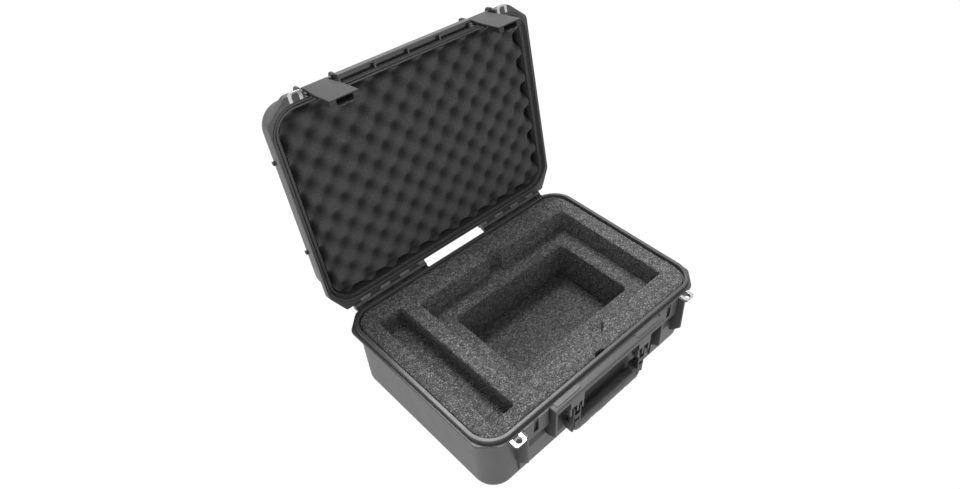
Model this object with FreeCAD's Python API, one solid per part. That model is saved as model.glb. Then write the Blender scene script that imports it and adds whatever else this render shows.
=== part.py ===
import FreeCAD, Part
import math
import os

# Laptop hard case: two moulded shells with a seal, foam, two trigger latches and a carrying
# handle, with its lid standing open.
# Millimetres. The origin is the centre of the underside, +Z is up and the handle faces -Y.

Vector = FreeCAD.Vector

# Shells
opening_width = 470.0
opening_depth = 333.0
opening_corner = 36.0
wall = 3.5
draft_angle = 1.5
base_height = 135.0
lid_height = 58.0
shell_edge_radius = 12.0

# Sealing rim, outwards from the opening
rim_side = 8.0
rim_front = 7.0
rim_back = 4.5
rim_rebate = 2.0
rim_rebate_front = 1.5
rim_rebate_depth = 9.0
tongue_height = 7.0
rim_gap = 0.3
flange_thickness = 5.5
flange_side = 4.5
flange_front = 4.5
flange_back = 6.0
flange_chamfer = 28.0
flange_corner_radius = 12.0

# Front apron over the handle
apron_reach = 18.0
apron_drop = 1.0
apron_plate = 4.5
apron_lip_height = 9.0
apron_lip_thickness = 3.5
apron_edge_radius = 3.0
apron_bar_inner = 66.5
apron_bar_inset = 7.5
apron_bar_depth = 7.0
apron_bar_rise = 1.0

# Latch bays, from the corner of the case inwards and from the rim downwards
bay_corner = 53.8
bay_width = 54.7
bay_rib = 4.0
bay_post = 3.5
bay_rib_drop = 73.0
bay_rib_face_drop = 65.0
bay_rib_foot = 8.0
bay_post_drop = 90.0
bay_post_face_drop = 74.5
bay_post_foot = 16.5
keeper_reach = 6.1
keeper_inner_gap = 3.5
keeper_outer_gap = 1.2
keeper_height = 36.5
keeper_undercut = 3.1
keeper_undercut_depth = 8.6
keeper_notch_width = 9.0
keeper_notch_height = 27.0
bay_panel_rise = 3.0
bay_panel_drop = 68.0
bay_panel_bevel = 8.0
bay_panel_bottom = 15.0

# Padlock lugs and their protector plates
padlock_corner = 39.0
padlock_reach = 12.8
padlock_hole_radius = 4.2
lug_width = 22.0
plate_thickness = 1.5
plate_slot_radius = 5.4
plate_overhang = 1.0
plate_front = 7.0
plate_bevel = 3.0
plate_gap = 0.1
plate_back_gap = 0.2

# Lid rim
skirt_gap = 0.5
skirt_width = 5.0
lid_flange_thickness = 5.0
parting_gap = 0.5
lid_back_reach = 12.5
lid_hinge_relief = 2.5
lid_middle_relief = 5.0
lid_corner_chamfer_x = 37.0
lid_corner_chamfer_y = 31.0
lid_back_chamfer_x = 22.0
lid_back_chamfer_y = 38.0
lid_bay_reach = 5.0
lid_corner_reach = 16.0
lid_channel_inner = 5.5
lid_channel_outer = 10.0
lid_channel_roof = 3.2
lid_web_thickness = 3.0
lid_web_pitch = 62.3
lid_web_count = 3
lid_pocket_width = 8.0
lid_pocket_depth = 3.5
stack_rib_width = 6.0
stack_rib_rise = 3.5
stack_rib_height = 9.0
stack_rib_x = 66.0
stack_rib_y = 82.0

# Seal
seal_diameter = 3.0
seal_inset = 2.0
seal_lift = 0.15
seal_clearance = 0.2

# Hinge
hinge_offset = 16.3
hinge_drop = 7.5
hinge_knuckle_radius = 5.0
hinge_pin_radius = 2.0
hinge_pin_clearance = 0.06
hinge_pitch = 20.0
hinge_end_knuckle = 14.0
hinge_length = 148.0
hinge_corner = 21.0
hinge_gap = 0.25
hinge_pin_short = 0.4
hinge_ledge_gap = 0.5
hinge_ledge_drop = 2.0
lid_open_angle = 100.1

# Latches
latch_pin_reach = 9.7
latch_pin_rise = 8.0
latch_pin_radius = 1.5
latch_pin_clearance = 0.06
latch_barrel_radius = 3.3
latch_ear_thickness = 3.4
latch_ear_radius = 9.0
latch_ear_front = 18.0
latch_boss_gap = 0.3
latch_plate_thickness = 1.9
latch_length = 84.0
latch_inner_gap = 4.8
latch_outer_gap = 1.5
latch_neck_inset = 3.5
latch_neck_height = 34.0
latch_wall = 2.2
latch_wall_inset = 1.6
latch_rim = 2.6
latch_keeper_gap = 0.5
latch_end_depth = 10.3
latch_end_height = 24.0
latch_tab_height = 12.0
latch_finger_width = 27.0
latch_finger_notch = 2.0

# Triggers inside the latches
trigger_pin_radius = 1.25
trigger_pin_clearance = 0.06
trigger_pin_drop = 54.8
trigger_pin_inset = 4.2
trigger_boss_radius = 1.95
trigger_side_gap = 0.5
trigger_lever_thickness = 1.6
trigger_neck_width = 24.6
trigger_lip_drop = 33.0
trigger_lip_reach = 2.4
trigger_hook_width = 8.0
trigger_hook_gap = 0.7
trigger_hook_reach = 8.0
trigger_hook_depth = 9.5
trigger_hook_tip = 4.5
trigger_spring_width = 9.0
trigger_spring_wire = 0.7

# Handle
handle_arm_inner = 69.0
handle_arm_outer = 85.8
handle_rail = 3.3
handle_arm_depth = 6.0
handle_eye_radius = 5.0
handle_pin_radius = 2.0
handle_pin_clearance = 0.06
handle_pivot_reach = 9.5
handle_pivot_drop = 29.0
handle_face_reach = 16.5
handle_window_height = 6.0
handle_window_pitch = 16.5
handle_window_drop = 9.5
handle_cheek_bottom = 30.0
handle_cheek_top = 66.0
handle_cheek_round = 9.0
handle_seam = 0.3
handle_fin_thickness = 3.5
handle_fin_gap = 1.0
handle_fin_outer = 91.0
handle_fin_radius = 7.5
handle_fin_bevel = 2.0
handle_comb_drop = 16.0
grip_drop = 39.0
grip_height = 30.0
grip_bar = 24.0
grip_arm = 16.5
grip_depth = 22.0
grip_centre_reach = 5.7
grip_corner_radius = 14.0
grip_inner_radius = 5.0
grip_round = 7.5
grip_core = 8.0

# Hand scoop in the front wall behind the handle
scoop_half_width = 98.0
scoop_radius = 80.0
scoop_depth = 8.0
scoop_gap = 1.7

# Pressure valve under the apron
valve_x = -2.0
valve_drop = 24.5
valve_stem_radius = 5.0
valve_stem_clearance = 0.1
valve_cap_radius = 9.5
valve_cap_thickness = 3.0
valve_seal_thickness = 1.2
valve_nut_width = 15.0
valve_nut_thickness = 3.0

# Foam
foam_gap = 0.4
foam_below_rim = 4.0
foam_pad = 7.2
ledge_depth = 43.0
pocket_left = -133.6
pocket_right = 204.5
pocket_front = -121.8
pocket_back = 116.4
well_left = -89.5
well_right = 170.0
well_front = -78.5
well_back = 81.5
slot_left = -206.0
slot_right = -161.0
slot_front = -139.4
slot_back = 132.0
slot_depth = 36.0
finger_notch_x = 35.5
finger_notch_radius = 14.0
valve_notch_width = 20.0
valve_notch_depth = 6.0

# Egg-crate foam in the lid
crate_pitch_x = 46.3
crate_pitch_y = 24.3
crate_below_lip = 1.5
crate_pit_radius = 15.6
crate_pit_floor = 7.0
crate_pit_depth = 22.0
crate_edge_gap = 2.5
crate_phase_x = 20.9

# Levels and lines that follow from the sizes above
half_width = opening_width / 2
half_depth = opening_depth / 2
tongue_top = base_height
flange_top = tongue_top - tongue_height
flange_under = flange_top - flange_thickness
tongue_x = half_width + rim_side
tongue_y = half_depth + rim_front
tongue_back = half_depth + rim_back
tongue_corner = opening_corner + (rim_side + rim_front) / 2
lid_lip = tongue_top + rim_gap
skirt_bottom = flange_top + parting_gap
lid_flange_top = lid_lip + lid_flange_thickness
lid_top = base_height + lid_height
lean = math.tan(math.radians(draft_angle))
apron_top = flange_top - apron_drop
apron_face = -(tongue_y + apron_reach)
apron_lip_bottom = apron_top - apron_lip_height
bay_face = apron_face + 0.5
bay_outer = half_width - bay_corner
bay_inner = bay_outer - bay_width
keeper_inner = bay_inner + keeper_inner_gap
keeper_outer = bay_outer - keeper_outer_gap
latch_inner_edge = bay_inner + latch_inner_gap
latch_outer_edge = bay_outer - latch_outer_gap
apron_bar_outer = bay_inner - apron_bar_inset
bay_rib_bottom = flange_top - bay_rib_drop
bay_rib_face_bottom = flange_top - bay_rib_face_drop
bay_post_bottom = flange_top - bay_post_drop
bay_post_face_bottom = flange_top - bay_post_face_drop
bay_panel_top = flange_top - bay_panel_drop
keeper_face = -(tongue_y + keeper_reach)
keeper_bottom = flange_top - keeper_height
lid_skirt_inner_y = tongue_y + skirt_gap
lid_skirt_back = tongue_back + skirt_gap
lid_skirt_inner_x = tongue_x + skirt_gap
lid_outer_x = lid_skirt_inner_x + skirt_width
lid_bay_face = -(lid_skirt_inner_y + lid_bay_reach)
lid_front_face = apron_face
hinge_y = tongue_back + hinge_offset
hinge_z = tongue_top - hinge_drop
hinge_outer_end = half_width - hinge_corner
hinge_inner_end = hinge_outer_end - hinge_length
latch_pin_y = -(tongue_y + latch_pin_reach)
latch_pin_z = lid_flange_top + latch_pin_rise
latch_face = latch_pin_y - latch_barrel_radius
latch_back = keeper_face - latch_keeper_gap
latch_foot = latch_pin_z - latch_length
trigger_pin_y = latch_face + trigger_pin_inset
trigger_pin_z = latch_pin_z - trigger_pin_drop
handle_pivot_y = -(tongue_y + handle_pivot_reach)
handle_pivot_z = apron_lip_bottom - handle_pivot_drop
handle_window_top = handle_pivot_z - handle_window_drop
grip_top = handle_pivot_z - grip_drop
grip_bottom = grip_top - grip_height
handle_face = -(tongue_y + handle_face_reach)
grip_centre_y = -(tongue_y + grip_centre_reach)
padlock_x = half_width - padlock_corner
padlock_y = -(tongue_y + padlock_reach)
plate_face = padlock_y - plate_front
valve_height = flange_top - valve_drop
scoop_chord = math.sqrt((scoop_radius + wall) ** 2 - (scoop_radius + wall - scoop_depth) ** 2)
scoop_height = valve_height - valve_cap_radius - scoop_gap - scoop_chord
foam_top = tongue_top - foam_below_rim
ledge_top = foam_top - ledge_depth
pad_top = wall + foam_gap + foam_pad
overshoot = 1.0


def box(x0, x1, y0, y1, z0, z1):
    """Block between two opposite corners."""
    return Part.makeBox(x1 - x0, y1 - y0, z1 - z0, Vector(x0, y0, z0))


def rod_x(y, z, radius, x0, x1):
    """Round bar along X."""
    return Part.makeCylinder(radius, x1 - x0, Vector(x0, y, z), Vector(1, 0, 0))


def rod_y(x, z, radius, y0, y1):
    """Round bar along Y."""
    return Part.makeCylinder(radius, y1 - y0, Vector(x, y0, z), Vector(0, 1, 0))


def rod_z(x, y, radius, z0, z1):
    """Round bar along Z."""
    return Part.makeCylinder(radius, z1 - z0, Vector(x, y, z0), Vector(0, 0, 1))


def prism(points, travel):
    """Solid swept by a closed polygon along a vector."""
    wire = Part.makePolygon(points + [points[0]])
    return Part.Face(wire).extrude(travel)


def side_prism(outline, x0, x1):
    """Solid from an outline of (y, z) points, carried along X."""
    return prism([Vector(x0, y, z) for y, z in outline], Vector(x1 - x0, 0, 0))


def front_prism(outline, y0, y1):
    """Solid from an outline of (x, z) points, carried along Y."""
    return prism([Vector(x, y0, z) for x, z in outline], Vector(0, y1 - y0, 0))


def plan_prism(outline, z0, z1):
    """Solid from an outline of (x, y) points, carried along Z."""
    return prism([Vector(x, y, z0) for x, y in outline], Vector(0, 0, z1 - z0))


def mirrored(shape):
    """The same piece on the other side of the case."""
    return shape.mirror(Vector(0, 0, 0), Vector(1, 0, 0))


def both_sides(shape):
    """A piece and its mirror image."""
    return [shape, mirrored(shape)]


def fused(shapes):
    """One solid from touching or overlapping solids."""
    return shapes[0].multiFuse(shapes[1:]).removeSplitter()


def rounded_wire(half_x, half_y, radius, z, centre_y=0.0):
    """Rounded rectangle about the middle of the case, or about a line before or behind it."""
    edges = []
    corners = [(1, -1, -90), (1, 1, 0), (-1, 1, 90), (-1, -1, 180)]
    ends = []
    for sx, sy, start in corners:
        cx = sx * (half_x - radius)
        cy = centre_y + sy * (half_y - radius)
        turn = [math.radians(start + part) for part in (0, 45, 90)]
        ends.append([Vector(cx + radius * math.cos(a), cy + radius * math.sin(a), z) for a in turn])
    for index, arc in enumerate(ends):
        following = ends[(index + 1) % len(ends)]
        edges.append(Part.Arc(*arc).toShape())
        edges.append(Part.LineSegment(arc[2], following[0]).toShape())
    return Part.Wire(edges)


def rim_slab(half_x, front, back, radius, z0, z1):
    """Rounded plate that reaches to its own distance from the middle at the front and back."""
    wire = rounded_wire(half_x, (front + back) / 2, radius, z0, (back - front) / 2)
    return Part.Face(wire).extrude(Vector(0, 0, z1 - z0))


def tub(half_x, half_y, radius, rim_z, closed_z, edge_radius):
    """Drafted block, largest at rim_z, with rounded edges at its closed end."""
    shrink = abs(rim_z - closed_z) * lean
    wide = rounded_wire(half_x, half_y, radius, rim_z)
    narrow = rounded_wire(half_x - shrink, half_y - shrink, radius - shrink, closed_z)
    block = Part.makeLoft([wide, narrow], True, True)
    ends = [e for e in block.Edges if all(abs(v.Z - closed_z) < 0.001 for v in e.Vertexes)]
    return block.makeFillet(edge_radius, ends)


def wall_y(z):
    """Outer face of the front wall of the base at a height."""
    return -(half_depth + wall - (tongue_top - z) * lean)


def flange_outline():
    """Plan of the base flange, with a chamfer at each corner."""
    x = tongue_x + flange_side
    front = -(tongue_y + flange_front)
    back = tongue_back + flange_back
    cut = flange_chamfer
    right = [(x - cut, front), (x, front + cut), (x, back - cut), (x - cut, back)]
    left = [(-px, py) for px, py in reversed(right)]
    return right + left


def round_upright_edges(solid, radius, reach):
    """Rounds the upright edges that stand further out than a distance from the middle."""
    upright = []
    for edge in solid.Edges:
        ends = edge.Vertexes
        if len(ends) != 2 or abs(ends[0].X - ends[1].X) + abs(ends[0].Y - ends[1].Y) > 0.001:
            continue
        if abs(ends[0].X) > reach:
            upright.append(edge)
    return solid.makeFillet(radius, upright)


def scoop(offset):
    """Round bar that shapes the hand scoop, grown by an offset."""
    centre_y = wall_y(scoop_height) - scoop_radius + scoop_depth
    half = scoop_half_width + offset
    return rod_x(centre_y, scoop_height, scoop_radius + offset, -half, half)


def base_body():
    """Tub of the base with its floor, walls and hand scoop."""
    outer = tub(half_width + wall, half_depth + wall, opening_corner + wall,
                tongue_top, 0.0, shell_edge_radius)
    inner = tub(half_width, half_depth, opening_corner, tongue_top, wall, shell_edge_radius - wall)
    shell = outer.cut(inner)
    bulge = scoop(wall).common(outer)
    return shell.fuse(bulge).cut(scoop(0.0))


def base_rim():
    """Tongue and outer flange of the base."""
    flange = plan_prism(flange_outline(), flange_under, flange_top)
    flange = round_upright_edges(flange, flange_corner_radius, tongue_x - tongue_corner)
    tongue = rim_slab(tongue_x, tongue_y, tongue_back, tongue_corner, flange_under, tongue_top)
    opening = tub(half_width, half_depth, opening_corner, tongue_top, wall, shell_edge_radius - wall)
    return flange.fuse(tongue).cut(opening)


def rim_rebate_space():
    """Space of the shallow step inside the tongue, at the front and sides."""
    return rim_slab(half_width + rim_rebate, half_depth + rim_rebate_front, half_depth - overshoot,
                    opening_corner + rim_rebate, tongue_top - rim_rebate_depth,
                    tongue_top + overshoot)


def front_apron():
    """Apron between the latch bays, with its turned-down lip and two raised bars."""
    root = wall_y(apron_top) + overshoot
    plate = box(-bay_inner, bay_inner, apron_face, root, apron_top - apron_plate, apron_top)
    lip = box(-bay_inner, bay_inner, apron_face, apron_face + apron_lip_thickness,
              apron_lip_bottom, apron_top)
    apron = plate.fuse(lip).removeSplitter()
    front_edges = []
    for edge in apron.Edges:
        ends = edge.Vertexes
        if all(abs(v.Y - apron_face) < 0.001 and abs(v.Z - apron_top) < 0.001 for v in ends):
            front_edges.append(edge)
    apron = apron.makeFillet(apron_edge_radius, front_edges)
    bar_back = -(tongue_y + flange_front) - overshoot
    bar = box(apron_bar_inner, apron_bar_outer, bar_back - apron_bar_depth, bar_back,
              apron_top - overshoot, apron_top + apron_bar_rise)
    return fused([apron] + both_sides(bar))


def latch_bay():
    """Rib, post, keeper and panel that a latch closes on, for the right side."""
    rib_outline = [
        (wall_y(bay_rib_bottom) + overshoot, bay_rib_bottom),
        (wall_y(bay_rib_bottom) - bay_rib_foot, bay_rib_bottom),
        (bay_face, bay_rib_face_bottom),
        (bay_face, apron_top),
        (wall_y(apron_top) + overshoot, apron_top),
    ]
    rib = side_prism(rib_outline, bay_inner - bay_rib, bay_inner)
    foot = bay_post_foot
    rise = bay_post_face_bottom - bay_post_bottom
    post_outline = [
        (wall_y(bay_post_bottom) + overshoot, bay_post_bottom),
        (wall_y(bay_post_bottom) - 0.15 * foot, bay_post_bottom + 0.13 * rise),
        (wall_y(bay_post_bottom) - 0.67 * foot, bay_post_bottom + 0.54 * rise),
        (wall_y(bay_post_bottom) - foot, bay_post_face_bottom),
        (bay_face, bay_post_face_bottom + 0.5 * foot),
        (bay_face, apron_top),
        (wall_y(apron_top) + overshoot, apron_top),
    ]
    post = side_prism(post_outline, bay_outer, bay_outer + bay_post)
    keeper_outline = [
        (wall_y(keeper_bottom) + overshoot, keeper_bottom + keeper_undercut),
        (keeper_face + keeper_undercut_depth, keeper_bottom + keeper_undercut),
        (keeper_face, keeper_bottom),
        (keeper_face, flange_top),
        (wall_y(flange_top) + overshoot, flange_top),
    ]
    keeper = side_prism(keeper_outline, keeper_inner, keeper_outer)
    bay_middle = (latch_inner_edge + latch_outer_edge) / 2
    notch = box(bay_middle - keeper_notch_width / 2, bay_middle + keeper_notch_width / 2,
                keeper_face - overshoot, keeper_face + 4.5,
                flange_top - keeper_notch_height, flange_top + overshoot)
    keeper = keeper.cut(notch)
    panel_outline = [
        (wall_y(bay_panel_bottom) + overshoot, bay_panel_bottom),
        (wall_y(bay_panel_bottom), bay_panel_bottom),
        (wall_y(bay_panel_bottom) - bay_panel_rise, bay_panel_bottom + bay_panel_rise),
        (wall_y(bay_panel_top) - bay_panel_rise - 1.0, bay_panel_top),
        (wall_y(bay_panel_top), bay_panel_top + bay_panel_bevel),
        (wall_y(bay_panel_top) + overshoot, bay_panel_top + bay_panel_bevel),
    ]
    panel = side_prism(panel_outline, keeper_inner, bay_outer + overshoot)
    sill = box(bay_inner, bay_outer, keeper_face, wall_y(flange_top) + overshoot,
               flange_under, flange_top)
    return fused([rib, post, keeper, panel, sill])


def padlock_lug(z0, z1, face):
    """Lug with a padlock hole, for the right side."""
    half = lug_width / 2
    lug = box(padlock_x - half, padlock_x + half, face, -(half_depth + wall), z0, z1)
    return lug.cut(rod_z(padlock_x, padlock_y, padlock_hole_radius, z0 - overshoot, z1 + overshoot))


def hinge_spans():
    """The spans of the base knuckles and of the lid knuckles, from the middle outwards."""
    edges = [hinge_inner_end]
    place = hinge_inner_end + hinge_end_knuckle
    while place < hinge_outer_end - hinge_end_knuckle / 2:
        edges.append(place)
        place += hinge_pitch
    edges.append(hinge_outer_end)
    spans = list(zip(edges[:-1], edges[1:]))
    return spans[1::2], spans[0::2]


def knuckle(span, web_outline):
    """One hinge knuckle with the web that carries it."""
    x0 = span[0] + hinge_gap
    x1 = span[1] - hinge_gap
    barrel = rod_x(hinge_y, hinge_z, hinge_knuckle_radius, x0, x1)
    web = side_prism(web_outline, x0, x1)
    bore = rod_x(hinge_y, hinge_z, hinge_pin_radius + hinge_pin_clearance,
                 x0 - overshoot, x1 + overshoot)
    return barrel.fuse(web).cut(bore)


def base_knuckles():
    """Hinge knuckles at the back of the base."""
    back = tongue_back + flange_back
    outline = [
        (back - overshoot, flange_under),
        (hinge_y, hinge_z - hinge_knuckle_radius),
        (hinge_y, hinge_z),
        (back - overshoot, hinge_z),
    ]
    pieces = []
    for span in hinge_spans()[0]:
        pieces += both_sides(knuckle(span, outline))
    ledge = box(hinge_inner_end, hinge_outer_end, back - overshoot,
                hinge_y - hinge_knuckle_radius - hinge_ledge_gap,
                flange_under, hinge_z - hinge_ledge_drop)
    return pieces + both_sides(ledge)


def handle_fin(x0):
    """Fin under the apron that carries one end of a handle pin."""
    low = handle_pivot_z - handle_fin_radius
    face = apron_face + 1.0
    outline = [
        (wall_y(handle_pivot_z) + overshoot, handle_pivot_z + 14.0),
        (handle_pivot_y + handle_fin_radius, handle_pivot_z),
        (handle_pivot_y + handle_fin_radius / 2, low),
        (face + handle_fin_bevel, low),
        (face, low + handle_fin_bevel),
        (face, apron_top - apron_plate),
        (wall_y(apron_top) + overshoot, apron_top - apron_plate),
    ]
    fin = side_prism(outline, x0, x0 + handle_fin_thickness)
    bore = rod_x(handle_pivot_y, handle_pivot_z, handle_pin_radius + handle_pin_clearance,
                 x0 - overshoot, x0 + handle_fin_thickness + overshoot)
    return fin.cut(bore)


def handle_fins():
    """Three fins at each end of the handle, joined in front by the lower edge of the apron."""
    inner = handle_arm_inner - handle_fin_gap - handle_fin_thickness
    middle = (handle_arm_inner + handle_arm_outer - handle_fin_thickness) / 2
    pieces = []
    for x0 in (inner, middle, handle_fin_outer):
        pieces += both_sides(handle_fin(x0))
    comb = box(inner, handle_fin_outer + handle_fin_thickness, apron_face,
               apron_face + apron_lip_thickness, apron_lip_bottom - handle_comb_drop,
               apron_lip_bottom + overshoot)
    return pieces + both_sides(comb)


def make_base_shell():
    """Lower moulding of the case."""
    lug_top = flange_top - plate_thickness - plate_gap
    lug = padlock_lug(flange_under, lug_top, plate_face + plate_overhang)
    pieces = [base_body(), base_rim(), front_apron()]
    pieces += both_sides(latch_bay())
    pieces += both_sides(lug)
    pieces += base_knuckles()
    pieces += handle_fins()
    shell = fused(pieces)
    opening = tub(half_width, half_depth, opening_corner, tongue_top, wall, shell_edge_radius - wall)
    shell = shell.cut([opening.cut(scoop(wall)), rim_rebate_space()])
    valve_hole = rod_y(valve_x, valve_height, valve_stem_radius + valve_stem_clearance,
                       -(half_depth + 3 * wall), -(half_depth - 3 * wall))
    shell = shell.cut(valve_hole)
    seats = both_sides(plate_blank(flange_top - plate_thickness - plate_gap, flange_top + overshoot,
                                   plate_gap))
    return shell.cut(seats)


def plate_blank(z0, z1, margin):
    """Outline of a protector plate, grown by a margin, for the right side."""
    half = lug_width / 2 + margin
    bevel = plate_bevel
    back = -(tongue_y + flange_front) - plate_back_gap + margin
    face = plate_face - margin
    outline = [
        (padlock_x - half, back),
        (padlock_x - half, face + bevel),
        (padlock_x - half + bevel, face),
        (padlock_x + half - bevel, face),
        (padlock_x + half, face + bevel),
        (padlock_x + half, back),
    ]
    return plan_prism(outline, z0, z1)


def protector_plate(z0):
    """Stainless plate with a U slot that is open towards the case, for the right side."""
    z1 = z0 + plate_thickness
    plate = plate_blank(z0, z1, 0.0)
    slot = rod_z(padlock_x, padlock_y, plate_slot_radius, z0 - overshoot, z1 + overshoot)
    mouth = box(padlock_x - plate_slot_radius, padlock_x + plate_slot_radius,
                padlock_y, -tongue_y + overshoot, z0 - overshoot, z1 + overshoot)
    return plate.cut([slot, mouth])


def lid_outline():
    """Plan of the lid flange, stepped back at the latch bays and at the hinges."""
    front = lid_front_face
    corner_front = -(lid_skirt_inner_y + lid_corner_reach)
    back = lid_skirt_back + lid_back_reach
    relief = back - lid_hinge_relief
    middle = back - lid_middle_relief
    x = lid_outer_x
    right = [
        (bay_inner, front),
        (bay_inner, lid_bay_face),
        (bay_outer, lid_bay_face),
        (bay_outer, corner_front),
        (x - lid_corner_chamfer_x, corner_front),
        (x, corner_front + lid_corner_chamfer_y),
        (x, back - lid_back_chamfer_y),
        (x - lid_back_chamfer_x, back),
        (hinge_outer_end, back),
        (hinge_outer_end, relief),
        (hinge_inner_end, relief),
        (hinge_inner_end, middle),
    ]
    left = [(-px, py) for px, py in reversed(right)]
    return right + left


def lid_rim():
    """Flange and skirt of the lid."""
    flange = plan_prism(lid_outline(), skirt_bottom, lid_flange_top)
    flange = round_upright_edges(flange, flange_corner_radius, hinge_outer_end + overshoot)
    hollow = rim_slab(lid_skirt_inner_x, lid_skirt_inner_y, lid_skirt_back,
                      tongue_corner + skirt_gap, skirt_bottom - overshoot, lid_lip)
    return flange.cut(hollow)


def seal_groove():
    """Space for the seal in the lid rim."""
    x, front, back, radius = seal_line()
    half = seal_diameter / 2 + seal_clearance
    top = lid_lip + seal_diameter + seal_clearance
    outer = rim_slab(x + half, front + half, back + half, radius + half, lid_lip - overshoot, top)
    inner = rim_slab(x - half, front - half, back - half, radius - half, lid_lip - overshoot, top)
    return outer.cut(inner)


def seal_line():
    """Reach at the sides, front and back and corner radius of the seal's centre line."""
    return (tongue_x - seal_inset, tongue_y - seal_inset, tongue_back - seal_inset,
            tongue_corner - seal_inset)


def lid_front_channel():
    """Channel behind the front lip of the lid, with webs across it and pockets beside them."""
    roof = lid_flange_top - lid_channel_roof
    front = -(lid_skirt_inner_y + lid_channel_outer)
    back = -(lid_skirt_inner_y + lid_channel_inner)
    end = bay_inner - latch_ear_thickness
    channel = box(-end, end, front, back, skirt_bottom - overshoot, roof)
    half_web = lid_web_thickness / 2
    middle = (lid_web_count - 1) / 2
    web_places = [(index - middle) * lid_web_pitch for index in range(lid_web_count)]
    webs = [box(x - half_web, x + half_web, front, back, skirt_bottom, roof) for x in web_places]
    pockets = []
    for side in [x - half_web for x in web_places] + [end]:
        pockets.append(box(side - lid_pocket_width, side, front - lid_pocket_depth,
                           front + overshoot, skirt_bottom - overshoot, roof))
    return channel.fuse(pockets).cut(webs)


def latch_ear(x0, boss_end):
    """Ear on the lid that carries one end of a latch pin, with a boss towards the latch."""
    x1 = x0 + latch_ear_thickness
    outline = [
        (-(half_depth + wall) + overshoot, lid_flange_top - overshoot),
        (-(tongue_y + latch_ear_front), lid_flange_top - overshoot),
        (-(tongue_y + latch_ear_front), latch_pin_z),
        (latch_pin_y, latch_pin_z),
        (-(half_depth + wall) + overshoot, latch_pin_z + latch_ear_radius),
    ]
    ear = side_prism(outline, x0, x1)
    tip = rod_x(-(tongue_y + latch_ear_front) + latch_ear_radius, latch_pin_z, latch_ear_radius,
                x0, x1)
    boss = rod_x(latch_pin_y, latch_pin_z, latch_barrel_radius, min(x0, boss_end), max(x1, boss_end))
    bore = rod_x(latch_pin_y, latch_pin_z, latch_pin_radius, min(x0, boss_end) - overshoot,
                 max(x1, boss_end) + overshoot)
    return fused([ear, tip, boss]).cut(bore)


def lid_knuckles():
    """Hinge knuckles at the back of the lid."""
    back = lid_skirt_back + lid_back_reach - lid_hinge_relief
    outline = [
        (back - 2 * overshoot, skirt_bottom),
        (hinge_y - 2.0, hinge_z + 0.5),
        (hinge_y + hinge_knuckle_radius, hinge_z),
        (hinge_y + hinge_knuckle_radius, hinge_z + 4.0),
        (hinge_y, lid_flange_top),
        (back - 2 * overshoot, lid_flange_top),
    ]
    pieces = []
    for span in hinge_spans()[1]:
        pieces += both_sides(knuckle(span, outline))
    return pieces


def stacking_ribs():
    """Short ribs round the top of the lid that keep stacked cases in line."""
    low = lid_top - stack_rib_height
    shrink = (low - tongue_top) * lean
    side_x = half_width + wall - shrink
    front_y = half_depth + wall - shrink
    half = stack_rib_width / 2
    pieces = []
    for sign in (-1, 1):
        y = sign * stack_rib_y
        side = box(side_x - wall, side_x + stack_rib_rise, y - half, y + half, low - 6.0, low)
        x = sign * stack_rib_x
        face = sign * (front_y + stack_rib_rise)
        root = sign * (front_y - wall)
        for place in (-x, x):
            pieces.append(box(place - half, place + half, min(face, root), max(face, root),
                              low - 6.0, low))
        pieces += both_sides(side)
    return pieces


def make_lid_shell():
    """Upper moulding of the case, as closed."""
    outer = tub(half_width + wall, half_depth + wall, opening_corner + wall,
                lid_lip, lid_top, shell_edge_radius)
    inner = tub(half_width, half_depth, opening_corner, lid_lip, lid_top - wall,
                shell_edge_radius - wall)
    neck_inner = latch_inner_edge + latch_neck_inset
    neck_outer = latch_outer_edge - latch_neck_inset
    pieces = [outer, lid_rim()]
    pieces += both_sides(latch_ear(bay_inner - latch_ear_thickness, neck_inner - latch_boss_gap))
    pieces += both_sides(latch_ear(bay_outer, neck_outer + latch_boss_gap))
    pieces += lid_knuckles()
    pieces += stacking_ribs()
    shell = fused(pieces).cut([inner, lid_front_channel(), seal_groove()])
    seat_top = skirt_bottom + plate_thickness + plate_gap
    seats = both_sides(plate_blank(skirt_bottom - overshoot, seat_top, plate_gap))
    holes = both_sides(rod_z(padlock_x, padlock_y, padlock_hole_radius,
                             skirt_bottom - overshoot, lid_flange_top + overshoot))
    return shell.cut(seats + holes)


def make_lid_seal():
    """Round rubber seal in the groove of the lid, as closed."""
    x, front, back, radius = seal_line()
    centre_z = lid_lip + seal_diameter / 2 + seal_lift - rim_gap
    path = rounded_wire(x, (front + back) / 2, radius, centre_z, (back - front) / 2)
    first = path.Edges[0]
    start = first.valueAt(first.FirstParameter)
    along = first.tangentAt(first.FirstParameter)
    ring = Part.Wire(Part.makeCircle(seal_diameter / 2, start, along))
    return path.makePipeShell([ring], True, True)


def make_hinge_pins():
    """Two steel hinge pins."""
    pin = rod_x(hinge_y, hinge_z, hinge_pin_radius, hinge_inner_end + hinge_pin_short,
                hinge_outer_end - hinge_pin_short)
    return Part.makeCompound(both_sides(pin))


def latch_profile():
    """Front view of a latch plate, flared from its neck to its free end, as (x, z) points."""
    top = latch_pin_z
    neck_z = latch_pin_z - latch_neck_height
    inner_neck = latch_inner_edge + latch_neck_inset
    outer_neck = latch_outer_edge - latch_neck_inset
    right = []
    steps = 6
    for index in range(steps + 1):
        share = index / steps
        ease = share * share * (3 - 2 * share)
        z = top - 4.0 - (top - 4.0 - neck_z + 14.0) * share
        right.append((outer_neck + latch_neck_inset * ease, z))
    left = [(inner_neck + outer_neck - x, z) for x, z in reversed(right)]
    outline = [(outer_neck, top)] + right
    outline += [(latch_outer_edge, latch_foot), (latch_inner_edge, latch_foot)]
    outline += left + [(inner_neck, top)]
    return outline


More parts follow.
